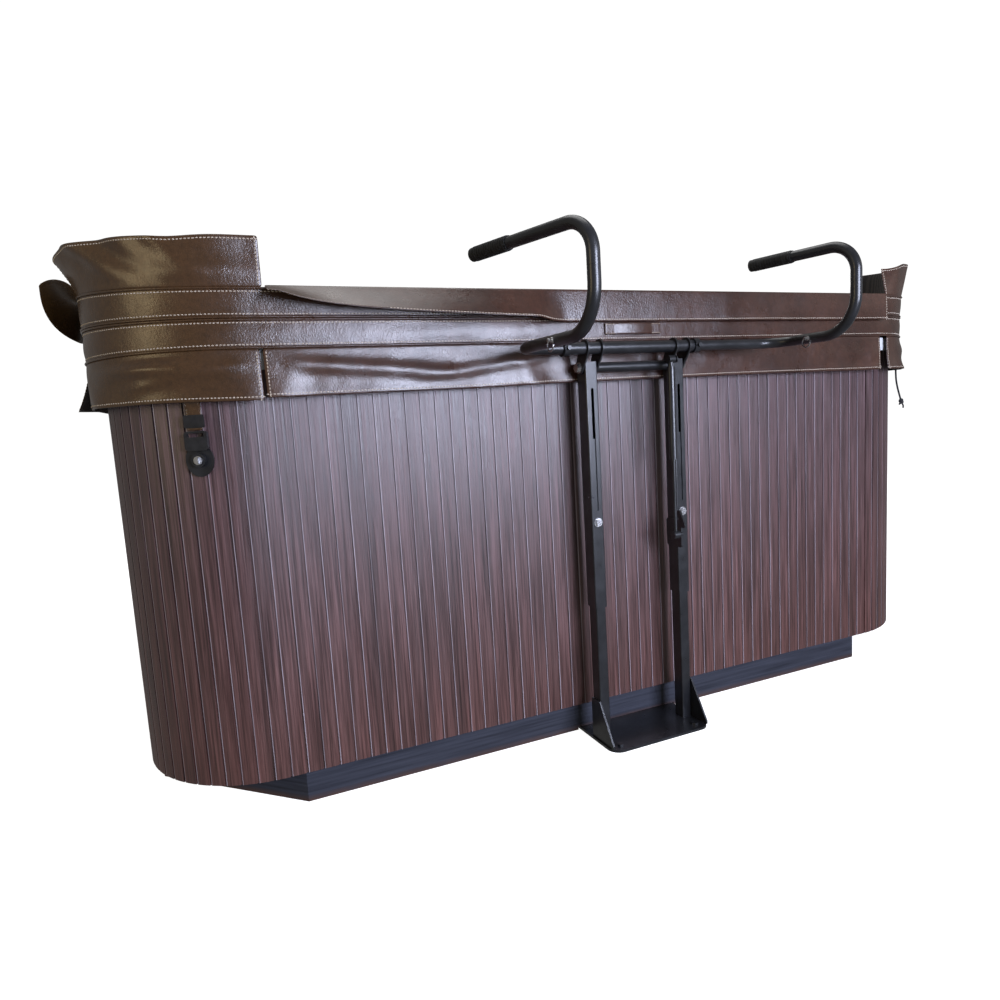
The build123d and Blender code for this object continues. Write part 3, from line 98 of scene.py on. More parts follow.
# ------------------------------------------------------------------ materials
class Paint:
    """A procedural material: short calls for the nodes that the finishes below share."""

    def __init__(self, name, roughness=0.5, metallic=0.0, specular=0.5, coat=0.0, coat_roughness=0.1, sheen=0.0):
        self.material = bpy.data.materials.new(name)
        self.material.use_nodes = True
        self.tree = self.material.node_tree
        self.shader = self.tree.nodes["Principled BSDF"]
        for socket, value in (
            ("Roughness", roughness),
            ("Metallic", metallic),
            ("Specular IOR Level", specular),
            ("Coat Weight", coat),
            ("Coat Roughness", coat_roughness),
            ("Sheen Weight", sheen),
        ):
            self.shader.inputs[socket].default_value = value
        self.place = self.tree.nodes.new("ShaderNodeTexCoord").outputs["Object"]
        self.last_bump = None

    def node(self, kind, **values):
        made = self.tree.nodes.new(kind)
        for name, value in values.items():
            setattr(made, name, value)
        return made

    def scaled(self, scale):
        """The row frame's coordinates, stretched by scale."""
        mapping = self.node("ShaderNodeMapping")
        mapping.inputs["Scale"].default_value = scale
        self.tree.links.new(self.place, mapping.inputs["Vector"])
        return mapping.outputs["Vector"]

    def noise(self, size, detail=4, scale=(1, 1, 1), roughness=0.55, distortion=0.0):
        """Noise whose features are about size metres across."""
        made = self.node("ShaderNodeTexNoise")
        self.tree.links.new(self.scaled(scale), made.inputs["Vector"])
        made.inputs["Scale"].default_value = 1 / size
        made.inputs["Detail"].default_value = detail
        made.inputs["Roughness"].default_value = roughness
        made.inputs["Distortion"].default_value = distortion
        return made.outputs["Fac"]

    def cells(self, size, feature="F1", scale=(1, 1, 1), wander=0.0):
        """Voronoi distance, cells about size metres across, their edges bent by noise."""
        made = self.node("ShaderNodeTexVoronoi", feature=feature)
        vector = self.scaled(scale)
        if wander:
            bend = self.node("ShaderNodeTexNoise")
            bend.inputs["Scale"].default_value = 0.6 / size
            self.tree.links.new(vector, bend.inputs["Vector"])
            shift = self.node("ShaderNodeVectorMath", operation="MULTIPLY_ADD")
            self.tree.links.new(bend.outputs["Color"], shift.inputs[0])
            shift.inputs[1].default_value = (wander, wander, wander)
            self.tree.links.new(vector, shift.inputs[2])
            vector = shift.outputs["Vector"]
        self.tree.links.new(vector, made.inputs["Vector"])
        made.inputs["Scale"].default_value = 1 / size
        return made.outputs["Distance"]

    def axis(self, letter):
        made = self.node("ShaderNodeSeparateXYZ")
        self.tree.links.new(self.place, made.inputs["Vector"])
        return made.outputs[letter]

    def ramp(self, value, *stops):
        made = self.node("ShaderNodeValToRGB")
        band = made.color_ramp
        while len(band.elements) < len(stops):
            band.elements.new(0.5)
        for element, (place, colour) in zip(band.elements, stops):
            element.position = place
            element.color = (*colour, 1) if len(colour) == 3 else colour
        self.tree.links.new(value, made.inputs["Fac"])
        return made.outputs["Color"]

    def spread(self, value, low, high, to_low, to_high):
        made = self.node("ShaderNodeMapRange")
        for name, number in (("From Min", low), ("From Max", high), ("To Min", to_low), ("To Max", to_high)):
            made.inputs[name].default_value = number
        self.tree.links.new(value, made.inputs["Value"])
        return made.outputs["Result"]

    def blend(self, share, a, b, how="MIX"):
        made = self.node("ShaderNodeMix", data_type="RGBA", blend_type=how)
        for index, value in ((0, share), (6, a), (7, b)):
            if isinstance(value, (int, float)):
                made.inputs[index].default_value = value
            elif isinstance(value, tuple):
                made.inputs[index].default_value = (*value, 1)
            else:
                self.tree.links.new(value, made.inputs[index])
        return made.outputs[2]

    def colour(self, socket):
        self.tree.links.new(socket, self.shader.inputs["Base Color"])
        return self

    def roughness(self, socket):
        self.tree.links.new(socket, self.shader.inputs["Roughness"])
        return self

    def bump(self, height, distance, strength=1.0):
        made = self.node("ShaderNodeBump")
        made.inputs["Distance"].default_value = distance
        made.inputs["Strength"].default_value = strength
        self.tree.links.new(height, made.inputs["Height"])
        if self.last_bump:
            self.tree.links.new(self.last_bump, made.inputs["Normal"])
        self.last_bump = made.outputs["Normal"]
        self.tree.links.new(self.last_bump, self.shader.inputs["Normal"])
        return self


def vinyl(name, dark, light, painted_warm_light, shine=0.26):
    """Leather-grain vinyl: pebble grain, a web of fine wrinkles, rubbed lighter patches, and a painted warm light tint
    over the left end.
    """
    paint = Paint(name, specular=0.6, coat=0.16, coat_roughness=0.3)
    patches = paint.ramp(paint.noise(0.11, 6), (0.3, dark), (0.7, light))
    # painted light: from x -0.62 to x -1.15 the colour blends into the warm tint, a painted warm light on the cover's
    # left end
    end = paint.spread(paint.axis("X"), -1.15, -0.62, 1.0, 0.0)
    tone_with_painted_warm_light = paint.blend(end, patches, painted_warm_light)
    patchy = paint.ramp(paint.noise(0.009, 7, roughness=0.7), (0.30, (0.68, 0.66, 0.65)), (0.72, (1.24, 1.2, 1.18)))
    paint.colour(paint.blend(1.0, tone_with_painted_warm_light, patchy, "MULTIPLY"))
    paint.roughness(paint.spread(paint.noise(0.05, 4), 0.3, 0.7, shine - 0.02, shine + 0.10))
    web = paint.ramp(
        paint.cells(0.0065, "DISTANCE_TO_EDGE", (1.25, 1, 0.8), 0.006), (0.0, (0, 0, 0)), (0.22, (1, 1, 1))
    )
    paint.bump(web, 0.0003, 0.35)
    paint.bump(paint.noise(0.007, 4, (1, 1, 0.6), 0.55), 0.0006, 0.4)
    paint.bump(paint.cells(0.0016, "SMOOTH_F1"), 0.0003, 0.5)
    paint.bump(paint.noise(0.07, 2, (1, 1, 0.5)), 0.004, 0.4)
    return paint.material


def groove_highlight_mask(paint, straight_axis):
    """Mask for the painted groove highlight: 1 on the lit right-hand edge of each groove, 0 elsewhere; straight_axis is
    X, Y, or None for the corners.
    """
    def maths(operation, first, second):
        made = paint.node("ShaderNodeMath", operation=operation)
        for socket, value in zip(made.inputs, (first, second)):
            if isinstance(value, (int, float)):
                socket.default_value = value
            else:
                paint.tree.links.new(value, socket)
        return made.outputs[0]

    if straight_axis:
        place = maths("DIVIDE", paint.axis(straight_axis), FLUTE_PITCH)
    else:
        across_x = maths("SUBTRACT", maths("ABSOLUTE", paint.axis("X"), 0), CORNER_PLACE)
        across_y = maths("SUBTRACT", maths("ABSOLUTE", paint.axis("Y"), 0), CORNER_PLACE)
        place = maths("DIVIDE", maths("ARCTAN2", across_y, across_x), math.pi / 2 / CORNER_FLUTES)
    within = maths("FRACT", maths("ADD", place, 1000.5), 0)
    off_centre = maths("ABSOLUTE", maths("SUBTRACT", within, 0.5 + EDGE_OFFSET), 0)
    return paint.spread(off_centre, EDGE_WIDTH * 0.5, EDGE_WIDTH, 1.0, 0.0)


def siding(name, straight_axis):
    """Wood-grain composite siding: long vertical grain, dark pores, paler streaks, a painted cool sheen towards the top
    with a warmer tone low down, and painted highlights on the right-hand groove edges.
    """
    paint = Paint(name, specular=0.75)
    grain = paint.noise(0.0042, 8, (1, 1, 0.020), 0.68, 0.4)
    streaks = paint.noise(0.022, 4, (1, 1, 0.03), 0.6)
    wood = paint.ramp(
        grain,
        (0.30, (0.022, 0.012, 0.012)),
        (0.46, (0.075, 0.044, 0.042)),
        (0.60, (0.135, 0.085, 0.082)),
        (0.76, (0.230, 0.160, 0.160)),
    )
    tone = paint.ramp(streaks, (0.3, (0.58, 0.53, 0.51)), (0.7, (1.28, 1.16, 1.14)))
    wood = paint.blend(1.0, wood, tone, "MULTIPLY")
    # painted light: the siding is tinted cooler and bluer towards the top as a painted cool sheen, and warmer towards
    # the bottom
    height = paint.spread(paint.axis("Z"), 0.1, 0.85, 0.0, 1.0)
    painted_sheen_by_height = paint.ramp(height, (0.0, (1.12, 0.84, 0.76)), (1.0, (0.96, 0.98, 1.14)))
    wood = paint.blend(1.0, wood, painted_sheen_by_height, "MULTIPLY")
    # painted highlight: a pale stripe on the right-hand edge of each groove, broken up by noise, stands in for light
    # caught by the groove's side
    patchy = paint.ramp(paint.noise(0.02, 3, (1, 1, 0.05)), (0.3, (0.35, 0.35, 0.35)), (0.6, (0.9, 0.9, 0.9)))
    painted_groove_highlight = paint.blend(1.0, groove_highlight_mask(paint, straight_axis), patchy, "MULTIPLY")
    # (0.42, 0.36, 0.40) is the colour of the painted groove highlight
    paint.colour(paint.blend(painted_groove_highlight, wood, (0.42, 0.36, 0.40)))
    paint.roughness(paint.spread(grain, 0.3, 0.7, 0.29, 0.50))
    paint.bump(grain, 0.0013, 0.7)
    paint.bump(paint.noise(0.04, 4, (1, 1, 0.08)), 0.002, 0.4)
    return paint.material


def powder_coat(name, shade, shine=0.3):
    """Satin powder coat: fine orange peel, slightly uneven gloss, faint dust."""
    paint = Paint(name, specular=0.55, coat=0.25, coat_roughness=0.22)
    dust = paint.ramp(paint.noise(0.09, 6), (0.45, shade), (0.8, tuple(2.2 * v + 0.006 for v in shade)))
    paint.colour(dust)
    paint.roughness(paint.spread(paint.noise(0.02, 5), 0.3, 0.7, shine, shine + 0.14))
    paint.bump(paint.noise(0.0016, 3), 0.00012, 0.5)
    return paint.material


def bright_metal(name, tint, shine=0.22):
    paint = Paint(name, metallic=1.0)
    paint.colour(paint.ramp(paint.noise(0.008, 5), (0.3, tuple(0.7 * v for v in tint)), (0.65, tint)))
    paint.roughness(paint.spread(paint.noise(0.003, 6, (1, 1, 6)), 0.3, 0.7, shine, shine + 0.2))
    paint.bump(paint.noise(0.0012, 4), 0.00008, 0.5)
    return paint.material


def moulded(name, dark, light, shine=0.4, grain=0.0008):
    """Moulded plastic with a fine spark-eroded texture."""
    paint = Paint(name, specular=0.5)
    paint.colour(paint.ramp(paint.noise(0.03, 5), (0.35, dark), (0.7, light)))
    paint.roughness(paint.spread(paint.noise(0.01, 5), 0.3, 0.7, shine, shine + 0.15))
    paint.bump(paint.cells(grain, "SMOOTH_F1"), 0.0001, 0.6)
    return paint.material


def acrylic(name):
    """Cast acrylic with a pearl swirl under a clear gloss."""
    paint = Paint(name, roughness=0.12, specular=0.5, coat=0.6, coat_roughness=0.05)
    swirl = paint.noise(0.12, 8, (1, 1, 1), 0.6, 1.6)
    paint.colour(paint.ramp(swirl, (0.32, (0.52, 0.55, 0.58)), (0.5, (0.78, 0.80, 0.82)), (0.68, (0.90, 0.91, 0.92))))
    paint.bump(paint.noise(0.2, 2), 0.0008, 0.3)
    return paint.material


def board(name):
    """Painted base board: dark blue-grey, scuffed brown along its bottom edge, horizontal grain."""
    paint = Paint(name, specular=0.35)
    grain = paint.noise(0.006, 6, (0.03, 0.03, 1), 0.6)
    paint_tone = paint.ramp(grain, (0.3, (0.016, 0.018, 0.028)), (0.72, (0.050, 0.054, 0.074)))
    low = paint.spread(paint.axis("Z"), 0.0, 0.014, 1.0, 0.0)
    patchy = paint.blend(1.0, low, paint.ramp(paint.noise(0.05, 5), (0.3, (0.5, 0.5, 0.5)), (0.6, (1, 1, 1))), "MULTIPLY")
    paint.colour(paint.blend(patchy, paint_tone, (0.085, 0.042, 0.028)))
    paint.roughness(paint.spread(grain, 0.3, 0.7, 0.5, 0.7))
    paint.bump(grain, 0.0007, 0.6)
    return paint.material


def sawn_wood(name):
    paint = Paint(name, specular=0.3)
    grain = paint.noise(0.008, 7, (1, 1, 0.05), 0.6, 0.4)
    paint.colour(paint.ramp(grain, (0.3, (0.28, 0.18, 0.10)), (0.55, (0.50, 0.36, 0.22)), (0.8, (0.62, 0.48, 0.32))))
    paint.roughness(paint.spread(grain, 0.3, 0.7, 0.6, 0.8))
    paint.bump(grain, 0.0008, 0.6)
    return paint.material


def woven(name, dark, light, thread, shine=0.75):
    """Plain weave from two crossed waves of thread width."""
    paint = Paint(name, specular=0.3, sheen=0.25)
    over = paint.node("ShaderNodeTexWave", bands_direction="X")
    under = paint.node("ShaderNodeTexWave", bands_direction="DIAGONAL")
    for wave in (over, under):
        wave.inputs["Scale"].default_value = 0.16 / thread
        wave.inputs["Distortion"].default_value = 0.6
        paint.tree.links.new(paint.place, wave.inputs["Vector"])
    weave = paint.blend(0.5, over.outputs["Color"], under.outputs["Color"], "MULTIPLY")
    paint.colour(paint.ramp(weave, (0.1, dark), (0.7, light)))
    paint.shader.inputs["Roughness"].default_value = shine
    paint.bump(weave, 0.0004, 0.6)
    return paint.material


def foam_rubber(name):
    paint = Paint(name, specular=0.35)
    paint.colour(paint.ramp(paint.noise(0.01, 5), (0.3, (0.010, 0.010, 0.010)), (0.7, (0.028, 0.028, 0.027))))
    paint.roughness(paint.spread(paint.noise(0.006, 5), 0.3, 0.7, 0.42, 0.62))
    paint.bump(paint.cells(0.0011, "SMOOTH_F1"), 0.0002, 0.7)
    return paint.material


# the third colour is the painted warm light tint laid over the cover's left end
VINYL = vinyl("cover_vinyl", (0.036, 0.014, 0.009), (0.072, 0.030, 0.019), (0.088, 0.046, 0.012))
VINYL_BACK = woven("vinyl_backing", (0.012, 0.009, 0.008), (0.045, 0.036, 0.032), 0.0011)
SCRIM = woven("underside_scrim", (0.020, 0.019, 0.019), (0.070, 0.066, 0.064), 0.0016)
THREAD = woven("seam_thread", (0.42, 0.34, 0.26), (0.72, 0.62, 0.50), 0.0007, 0.6)
CORD_BRAID = woven("cord_braid", (0.006, 0.006, 0.007), (0.035, 0.034, 0.036), 0.0012)
FINISHES = {
    "base_board": board("plinth_board"),
    "black_plastic": moulded("black_moulding", (0.008, 0.008, 0.009), (0.022, 0.022, 0.024), 0.28),
    "timber": sawn_wood("frame_timber"),
    "acrylic": acrylic("pearl_acrylic"),
    "jet_plastic": moulded("grey_moulding", (0.10, 0.105, 0.11), (0.22, 0.225, 0.24), 0.3),
    "filter_media": woven("filter_pleats", (0.60, 0.62, 0.64), (0.86, 0.87, 0.88), 0.0015),
    "pump_metal": powder_coat("pump_paint", (0.030, 0.034, 0.042), 0.35),
    "stainless": bright_metal("stainless", (0.62, 0.62, 0.63), 0.28),
    "white_pvc": moulded("pipe_plastic", (0.66, 0.66, 0.64), (0.84, 0.84, 0.82), 0.32),
    "black_paint": powder_coat("lifter_coat", (0.010, 0.0105, 0.0125), 0.27),
    "zinc": bright_metal("bright_plate", (0.78, 0.78, 0.80), 0.16),
    "grip_rubber": foam_rubber("ribbed_rubber"),
    "vinyl": VINYL,
    "black_cord": CORD_BRAID,
}
FRONT_SIDING = siding("grooved_siding_front", "X")
SIDE_SIDING = siding("grooved_siding_side", "Y")
SIDINGS = {
    "panel_front": FRONT_SIDING,
    "panel_back": FRONT_SIDING,
    "panel_left": SIDE_SIDING,
    "panel_right": SIDE_SIDING,
    "corner_panels": siding("grooved_siding_corner", None),
}
for row in frame["record"]["subparts"]:
    shown = NODES[row["node"]]
    shown.data.materials.clear()
    shown.data.materials.append(SIDINGS.get(row["node"]) or FINISHES[row["material_slot"]])


# ------------------------------------------------------------------ mesh helpers
def mesh_object(name, vertices, faces, materials, body, smooth=True):
    mesh = bpy.data.meshes.new(name)
    mesh.from_pydata(vertices, [], faces)
    mesh.validate()
    for material in materials:
        mesh.materials.append(material)
    if smooth:
        mesh.polygons.foreach_set("use_smooth", [True] * len(mesh.polygons))
    made = bpy.data.objects.new(name, mesh)
    bpy.context.scene.collection.objects.link(made)
    if body:
        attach(made, body)
    return made


def apply_modifiers(thing):
    bpy.context.view_layer.update()
    baked = bpy.data.meshes.new_from_object(thing.evaluated_get(bpy.context.evaluated_depsgraph_get()))
    thing.modifiers.clear()
    thing.data = baked
    return thing


def cloth_grid(name, points, thickness, body, materials=None, levels=1, flip=False):
    """A sheet through a grid of points, given thickness and smoothed; its back is the second material."""
    if flip:
        points = [list(reversed(row)) for row in points]
    rows, columns = len(points), len(points[0])
    faces = [
        (r * columns + c, r * columns + c + 1, (r + 1) * columns + c + 1, (r + 1) * columns + c)
        for r in range(rows - 1)
        for c in range(columns - 1)
    ]
    flat = [p for row in points for p in row]
    made = mesh_object(name, flat, faces, materials or [VINYL, VINYL_BACK, VINYL], body)
    solid = made.modifiers.new("thickness", "SOLIDIFY")
    solid.thickness = thickness
    solid.offset = 0
    solid.material_offset = 1
    solid.material_offset_rim = 2
    smooth = made.modifiers.new("smooth", "SUBSURF")
    smooth.levels = smooth.render_levels = levels
    return apply_modifiers(made)


def tube_along(name, points, radius, material, body, sides=8, closed=False):
    """A round tube through points, for piping and tails."""
    spline_data = bpy.data.curves.new(name, "CURVE")
    spline_data.dimensions = "3D"
    spline = spline_data.splines.new("POLY")
    spline.points.add(len(points) - 1)
    for place, point in zip(spline.points, points):
        place.co = (*point, 1)
    spline.use_cyclic_u = closed
    spline_data.bevel_depth = radius
    spline_data.bevel_resolution = max(1, sides // 4)
    spline_data.use_fill_caps = True
    holder = bpy.data.objects.new(name + "_line", spline_data)
    bpy.context.scene.collection.objects.link(holder)
    mesh = bpy.data.meshes.new_from_object(holder.evaluated_get(bpy.context.evaluated_depsgraph_get()))
    bpy.data.objects.remove(holder)
    mesh.name = name
    mesh.materials.clear()
    mesh.materials.append(material)
    mesh.polygons.foreach_set("use_smooth", [True] * len(mesh.polygons))
    made = bpy.data.objects.new(name, mesh)
    bpy.context.scene.collection.objects.link(made)
    if body:
        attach(made, body)
    return made


def walk(points, step):
    """Places every step metres along a line of points, with the direction there."""
    places, left = [], 0.0
    for a, b in zip(points, points[1:]):
        run = (b - a).length
        if run < 1e-9:
            continue
        along = (b - a) / run
        while left <= run:
            places.append((a + along * left, along))
            left += step
        left -= run
    return places


def stitches(name, lines, surface, body, pitch=0.0066, length=0.0046, radius=0.0008, hide_under=0.004):
    """A row of sewn stitches along each line, each one a small rounded thread lying on the surface."""
    tree = BVHTree.FromPolygons([v.co[:] for v in surface.data.vertices], [p.vertices[:] for p in surface.data.polygons])
    vertices, faces = [], []
    for line in lines:
        for place, along in walk(line, pitch):
            hit, normal, _, distance = tree.find_nearest(place)
            if hit is None or distance > hide_under:
                continue
            if normal.dot(place - hit) < 0 and distance > 1e-6:
                normal = -normal
            side = along.cross(normal).normalized()
            start = len(vertices)
            for share, width in ((-0.5, 0.25), (-0.3, 1.0), (0.3, 1.0), (0.5, 0.25)):
                middle = hit + along * (share * length)
                for corner in range(5):
                    turn = math.pi * corner / 4
                    lift = math.sin(turn) * radius * width * 1.1
                    out = math.cos(turn) * radius * width * 1.4
                    vertices.append(middle + side * out + normal * (lift - 0.0001))
            for ring in range(3):
                for corner in range(4):
                    a = start + ring * 5 + corner
                    faces.append((a, a + 1, a + 6, a + 5))
            faces.append(tuple(start + i for i in range(5)))
            faces.append(tuple(start + 15 + i for i in range(4, -1, -1)))
    return mesh_object(name, vertices, faces, [THREAD], body)


def hump(x, centre, width):
    return math.exp(-(((x - centre) / width) ** 2))


def step_up(x, low, high):
    """0 below low, 1 above high, smooth between; low may be the larger."""
    share = min(1.0, max(0.0, (x - low) / (high - low)))
    return share * share * (3 - 2 * share)


def wobble(x, y=0.0, z=0.0):
    return noise.noise(Vector((x, y, z)))


# ------------------------------------------------------------------ cover outline and fold
def rim(s):
    """Point and outward direction on the near half's outline, s metres along it from the middle of the near edge."""
    side, run = (1 if s >= 0 else -1), abs(s)
    if run <= RIGHT_CORNER:
        return Vector((s, -COVER_HALF, 0)), Vector((0, -1, 0))
    if run <= RIGHT_CORNER + QUARTER:
        turn = (run - RIGHT_CORNER) / COVER_RADIUS
        out = Vector((side * math.sin(turn), -math.cos(turn), 0))
        return Vector((side * RIGHT_CORNER, -RIGHT_CORNER, 0)) + out * COVER_RADIUS, out
    return Vector((side * COVER_HALF, run - QUARTER - 2 * RIGHT_CORNER, 0)), Vector((side, 0, 0))


def side_run(y):
    """The distance along the outline of the place y on the straight side."""
    return y + 2 * RIGHT_CORNER + QUARTER


def as_is(point):
    return point


def fold_over(point):
    """Where a point of the near half lies when it is the far half, folded back on top of the near one."""
    y, z = -point.y, point.z - HINGE_Z
    turned_y = y * math.cos(FOLD) - z * math.sin(FOLD)
    turned_z = y * math.sin(FOLD) + z * math.cos(FOLD)
    return Vector((point.x, turned_y, turned_z + HINGE_Z))


def top_height(y):
    """Height of the closed half's sloping face above its flat one."""
    return COVER_EDGE + (COVER_MIDDLE - COVER_EDGE) * (1 + y / COVER_HALF)


# ------------------------------------------------------------------ foam halves in their jackets
def outline(inset):
    """Closed loop of the half's plan at height 0, moved in by inset."""
    radius = max(COVER_RADIUS - inset, 0.003)
    corner = RIGHT_CORNER
    loop = []
    far = -COVER_GAP - inset
    count_side, count_arc, count_near, count_back = 60, 34, 130, 130
    for i in range(count_side):
        loop.append(Vector((-COVER_HALF + inset, far + (-corner - far) * i / count_side, 0)))
    for i in range(count_arc):
        turn = math.pi / 2 * i / count_arc
        loop.append(Vector((-corner - radius * math.cos(turn), -corner - radius * math.sin(turn), 0)))
    for i in range(count_near):
        loop.append(Vector((-corner + 2 * corner * i / count_near, -COVER_HALF + inset, 0)))
    for i in range(count_arc):
        turn = math.pi / 2 * i / count_arc
        loop.append(Vector((corner + radius * math.sin(turn), -corner - radius * math.cos(turn), 0)))
    for i in range(count_side):
        loop.append(Vector((COVER_HALF - inset, -corner + (far + corner) * i / count_side, 0)))
    for i in range(count_back):
        loop.append(Vector((COVER_HALF - inset - 2 * (COVER_HALF - inset) * i / count_back, far, 0)))
    return loop


def cover_pad(name, node, body, place, seed):
    """A foam half in its jacket: a crowned band between two pinched seams, crinkled where the vinyl is slack."""
    profile = []
    for inset in (0.272, 0.20, 0.13, 0.08, 0.045, 0.022, 0.009, 0.003):
        profile.append((inset, 0.0))
    for share in (0.03, 0.09, 0.18, 0.28, 0.39, 0.5, 0.61, 0.72, 0.82, 0.91, 0.97):
        profile.append((0.0, share))
    for inset in (0.003, 0.009, 0.022, 0.045, 0.08, 0.13, 0.20, 0.272):
        profile.append((inset, 1.0))
    vertices, faces = [], []
    loops = {}
    for inset, share in profile:
        if inset not in loops:
            loops[inset] = outline(inset)
    count = len(loops[0.0])
    centre = Vector((0, -COVER_HALF / 2, 0))
    for inset, share in profile:
        for point in loops[inset]:
            height = top_height(point.y)
            z = COVER_BOTTOM + share * height
            out = (point - centre).normalized()
            edge = min(1.0, inset / 0.05)
            if inset == 0.0:
                crown = 0.0022 * math.sin(math.pi * share) - 0.0012
                slack = 0.0016 * wobble(point.x * 9, point.y * 9, z * 26 + seed)
                creases = 0.0012 * abs(wobble(point.x * 42, point.y * 42, z * 18 + seed)) * math.sin(math.pi * share)
                moved = point + out * (crown + slack * math.sin(math.pi * share) - creases)
            else:
                moved = point.copy()
                z += (1 if share else -1) * (0.0012 * edge * wobble(point.x * 6, point.y * 6, seed) - 0.0014)
                if inset > 0.15:
                    z -= (1 if share else -1) * 0.0004
            vertices.append(place(Vector((moved.x, moved.y, z))))
    for ring in range(len(profile) - 1):
        for i in range(count):
            j = (i + 1) % count
            faces.append((ring * count + i, ring * count + j, (ring + 1) * count + j, (ring + 1) * count + i))
    faces.append(tuple(range(count - 1, -1, -1)))
    last = (len(profile) - 1) * count
    faces.append(tuple(range(last, last + count)))
    pad = mesh_object(name, vertices, faces, [VINYL, SCRIM], body)
    scrim_rings = sum(1 for inset, share in profile if share == 0.0 and inset >= 0.045)
    for face in pad.data.polygons:
        if face.index < (scrim_rings - 1) * count or face.index == len(faces) - 2:
            face.material_index = 1
    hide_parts(node)
    rims = []
    for share, lift in ((0.0, 0.0012), (1.0, -0.0012)):
        line = []
        for point in loops[0.0]:
            out = (point - centre).normalized()
            line.append(place(Vector((point.x, point.y, COVER_BOTTOM + share * top_height(point.y) + lift)) + out * 0.0006))
        rims.append(tube_along(f"{name}_piping_{int(share)}", line, 0.0021, VINYL, body, closed=True))
    lines = []
    for share in (0.13, 0.87):
        lines.append([place(Vector((p.x, p.y, COVER_BOTTOM + share * top_height(p.y)))) for p in loops[0.0]])
    stitches(f"{name}_stitching", lines, pad, body, hide_under=0.02)
    return pad


lower_pad = cover_pad("cover_lower_pad", "cover_lower", "tub", as_is, 3.1)
upper_pad = cover_pad("cover_upper_pad", "cover_upper", "cover_upper", fold_over, 11.7)


# ------------------------------------------------------------------ skirts and flaps
def skirt_piece(name, s_from, s_to, shape, place, body, drop=SKIRT_DROP, step=0.009, rows=11):
    """A strip of skirt sewn along its top: shape(s, t) gives how far it stands out and hangs down, t from seam to hem."""
    columns = max(6, int(abs(s_to - s_from) / step))
    grid, front = [], []
    for r in range(rows + 1):
        t = r / rows
        row, front_row = [], []
        for c in range(columns + 1):
            s = s_from + (s_to - s_from) * c / columns
            point, out = rim(s)
            stand, down = shape(s, t)
            if t > 0.86:
                stand += 0.0005
            hung = Vector((point.x, point.y, COVER_BOTTOM - down))
            row.append(place(hung + out * (stand - 0.0015)))
            front_row.append(place(hung + out * (stand + 0.0015)))
        grid.append(row)
        front.append(front_row)
    made = cloth_grid(name, grid, 0.0022, body, flip=place is as_is)
    share = 1 - 0.0065 / drop
    hem_row = min(rows - 1, int(share * rows))
    blend = share * rows - hem_row
    lines = [[front[hem_row][c].lerp(front[hem_row + 1][c], blend) for c in range(columns + 1)]]
    for column, inner in ((0, 1), (columns, columns - 1)):
        lines.append([front[r][column].lerp(front[r][inner], 0.65) for r in range(1, rows + 1)])
    stitches(f"{name}_stitching", lines, made, body, hide_under=0.006)
    return made


def lower_left_shape(s, t):
    """Corner piece: a slack fold under the seam, the free edge kicked out."""
    smile = hump(s, -0.99, 0.10)
    stand = 0.015 * smile * hump(t, 0.34, 0.13) - 0.0015 * smile * hump(t, 0.12, 0.08)
    stand += 0.006 * hump(t + 1.6 * (s + 0.93), 0.5, 0.10) * step_up(s, -1.08, -1.0) * step_up(s, -0.80, -0.88)
    stand += 0.010 * t * hump(s, -0.80, 0.05) + 0.005 * t * hump(s, -1.13, 0.05)
    stand += 0.009 * hump(s - 0.10 * t, -1.24, 0.035) * t * (1.3 - t)
    stand += 0.0025 * t * wobble(s * 9, t * 2, 4.0)
    return stand, t * (SKIRT_DROP + 0.004 * hump(s, -0.80, 0.1)) - 0.002 * smile * hump(t, 0.4, 0.3)


def lower_front_shape(s, t):
    stand = 0.0045 * t * wobble(s * 5, 0.3 * t, 1.0) + 0.002 * t
    stand += 0.006 * hump(t - 0.9 * (s + 0.60), 0.45, 0.14) * step_up(s, -0.76, -0.70) * step_up(s, -0.36, -0.50)
    stand += 0.004 * hump(t + 1.2 * (s + 0.33), 0.5, 0.12) * step_up(s, -0.52, -0.42) * step_up(s, -0.14, -0.24)
    stand += 0.008 * t * hump(s, -0.28 + 0.05 * t, 0.035) - 0.004 * t * hump(s, -0.36, 0.04)
    stand += 0.007 * t * hump(s, -0.76, 0.04) + 0.004 * t * hump(s, 0.80, 0.03)
    stand += 0.0012 * math.sin(math.pi * t) * wobble(s * 28, t * 3, 2.0)
    return stand, t * (SKIRT_DROP - 0.003 * step_up(s, -0.4, -0.1) * step_up(s, 0.9, 0.3))


def lower_right_shape(s, t):
    stand = 0.020 * t * t * hump(s, 0.93, 0.06) + 0.012 * t * hump(s, 1.06, 0.05)
    stand += 0.006 * hump(t, 0.4, 0.2) * hump(s, 0.98, 0.06)
    return stand, t * SKIRT_DROP


def lower_side_shape(s, t):
    """Side piece of either hand: its near hem corner sticks out past the corner piece."""
    run = side_run(0) - abs(s)
    stand = 0.030 * t**1.4 * step_up(run, 0.70, 0.785) + 0.003 * t * wobble(s * 6, t, 7.0)
    return stand, t * SKIRT_DROP


left_corner = skirt_piece("lower_skirt_left", side_run(SLIT_SIDE) * -1, -0.79, lower_left_shape, as_is, "tub")
front_skirt = skirt_piece("lower_skirt_front", -0.785, 0.832, lower_front_shape, as_is, "tub")
right_corner = skirt_piece("lower_skirt_right", 0.862, side_run(SLIT_SIDE), lower_right_shape, as_is, "tub")
side_from, side_to = side_run(SLIT_SIDE + 0.005), side_run(-0.005)
skirt_piece("lower_skirt_left_side", -side_to, -side_from, lower_side_shape, as_is, "tub")
skirt_piece("lower_skirt_right_side", side_from, side_to, lower_side_shape, as_is, "tub")
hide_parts("lower_skirt")


